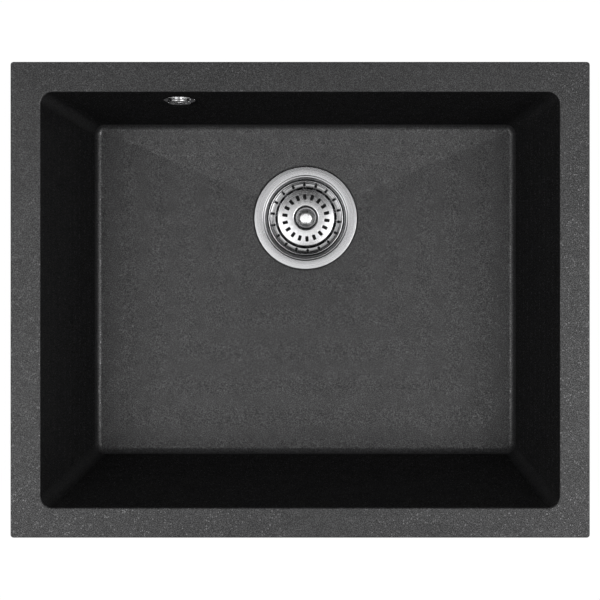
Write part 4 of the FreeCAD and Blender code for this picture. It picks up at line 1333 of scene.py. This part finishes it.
@dataclass(frozen=True)
class Hose:
    """Corrugated overflow hose on its route from the elbow to the waste, in millimetres."""

    top: Triple = (-120.5, 216.095, -65.312)
    corner: Triple = (-120.5, 198.3, -226.5)
    end: Triple = (-53.785, 131.695, -226.5)
    bend: float = 72.0
    arc_steps: int = 48
    bore: float = 6.6
    root: float = 7.8
    crest: float = 9.2
    cuff: float = 16.0
    pitch: float = 4.5

    def route(self) -> list[Vector]:
        """Works out the middle line: straight, arc, straight.

        Returns:
            Its points.
        """
        top, corner, end = Vector(self.top), Vector(self.corner), Vector(self.end)
        back, ahead = (top - corner).normalized(), (end - corner).normalized()
        half = back.angle(ahead) / 2
        reach = self.bend / math.tan(half)
        centre = corner + (back + ahead).normalized() * (self.bend / math.sin(half))
        first, last = corner + back * reach - centre, corner + ahead * reach - centre
        sweep = first.angle(last)
        arc: list[Vector] = []
        for k in range(self.arc_steps + 1):
            turned = sweep * k / self.arc_steps
            arm = first * math.sin(sweep - turned) + last * math.sin(turned)
            arc.append(centre + arm / math.sin(sweep))
        return [top, *arc, end]

    def build(self) -> None:
        """Adds the hose to the sink."""
        points = self.route()
        curve = bpy.data.curves.new("overflow_hose_path", "CURVE")
        curve.dimensions = "3D"
        spline = curve.splines.new("POLY")
        spline.points.add(len(points) - 1)
        for spot, point in zip(spline.points, points):
            spot.co = (*point, 1.0)
        tube = grow(new_object("corrugated_hose", curve), [(ribbed_tree(), {
            "Root": self.root, "Crest": self.crest, "Bore": self.bore,
            "Cuff": self.cuff, "Pitch": self.pitch,
        })])
        self.close_ends(tube)
        settle(tube, ORIGIN, Fit(Body.SINK, Slot.HOSE, "overflow_hose", sharp_deg=60.0))

    def close_ends(self, tube: Thing) -> None:
        """Joins the outside to the bore at both ends.

        Args:
            tube: the hose.
        """
        work = bmesh.new()
        work.from_mesh(tube.data)
        for spot in (Vector(self.top), Vector(self.end)):
            near = [e for e in work.edges if (e.verts[0].co - spot).length < 2 * self.crest]
            bmesh.ops.bridge_loops(work, edges=[e for e in near if e.is_boundary])
        work.to_mesh(tube.data)
        work.free()
        outward(tube)


@dataclass(frozen=True)
class ClampScrews:
    """Six washer-head screws that carry the clamps, in millimetres."""

    places: tuple[Point, ...] = (
        (-218.0, -210.78), (218.0, -210.78), (-218.0, 210.78), (218.0, 210.78),
        (-260.78, 0.0), (260.78, 0.0),
    )
    seat: float = -66.9
    top: float = -54.0
    head: float = 3.5
    head_corner: float = 4.6188
    head_chamfer: Point = (0.5, 0.45)
    washer: float = 1.0
    washer_radius: float = 5.2
    washer_edge: float = 0.35
    washer_steps: int = 3
    overlap: Point = (0.1, 0.2)
    radius: float = 2.5
    tip: float = 0.5
    thread_depth: float = 0.42
    thread_gaps: Point = (0.6, 1.0)
    pitch: float = 0.8
    segments: tuple[int, int, int] = (6, 40, 24)

    def build(self) -> None:
        """Adds the six screws to the sink."""
        seat, top, corner = self.seat, self.top, self.head_corner
        under = seat - self.washer
        low, into = under - self.head, under + self.overlap[0]
        inset, rise = self.head_chamfer
        hexagon, round_washer, round_shank = self.segments
        head = lathe("screw_head", [
            (0.0, low), (corner - inset, low), (corner, low + rise), (corner, into), (0.0, into),
        ], hexagon)
        ring = [(0.0, under), (self.washer_radius, under), (self.washer_radius, seat), (0.0, seat)]
        edges = [0.0, self.washer_edge, self.washer_edge, 0.0]
        washer = lathe("screw_washer", rounded(ring, edges, self.washer_steps), round_washer)
        core, sunk = self.radius - self.thread_depth, seat - self.overlap[1]
        shank = lathe("screw_shank", [
            (0.0, sunk), (core, sunk), (core, top - self.tip), (core - self.tip, top), (0.0, top),
        ], round_shank)
        length = top - seat - sum(self.thread_gaps)
        threaded = grow(shank, [(thread_tree(), {
            "Radius": core, "Depth": self.thread_depth, "Length": length,
            "Turns": length / self.pitch, "Start": seat + self.thread_gaps[0],
        })])
        piece = joined("screw_piece", [head, washer, threaded])
        spots = mesh_object("clamp_screw_set", [(x, y, 0.0) for x, y in self.places], [])
        made = grow(spots, [(copies_tree(), {"Piece": piece})], [piece])
        settle(made, ORIGIN, Fit(Body.SINK, Slot.ZINC, "clamp_screws", sharp_deg=30.0))


def main() -> None:
    """Builds the studio and every piece of the sink."""
    logging.basicConfig(level=logging.INFO, format="%(name)s: %(message)s")
    studio = Studio()
    studio.camera()
    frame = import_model()
    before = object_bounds()
    for part in frame["record"]["subparts"]:
        dress(frame["nodes"][part["node"]], Slot(part["material_slot"]))
    for piece in (Strainer(), Basket(), Knob(), Overflow(), Tail(), Hose(), ClampScrews()):
        piece.build()
    studio.build(before[0].z)


if __name__ == "__main__":
    main()
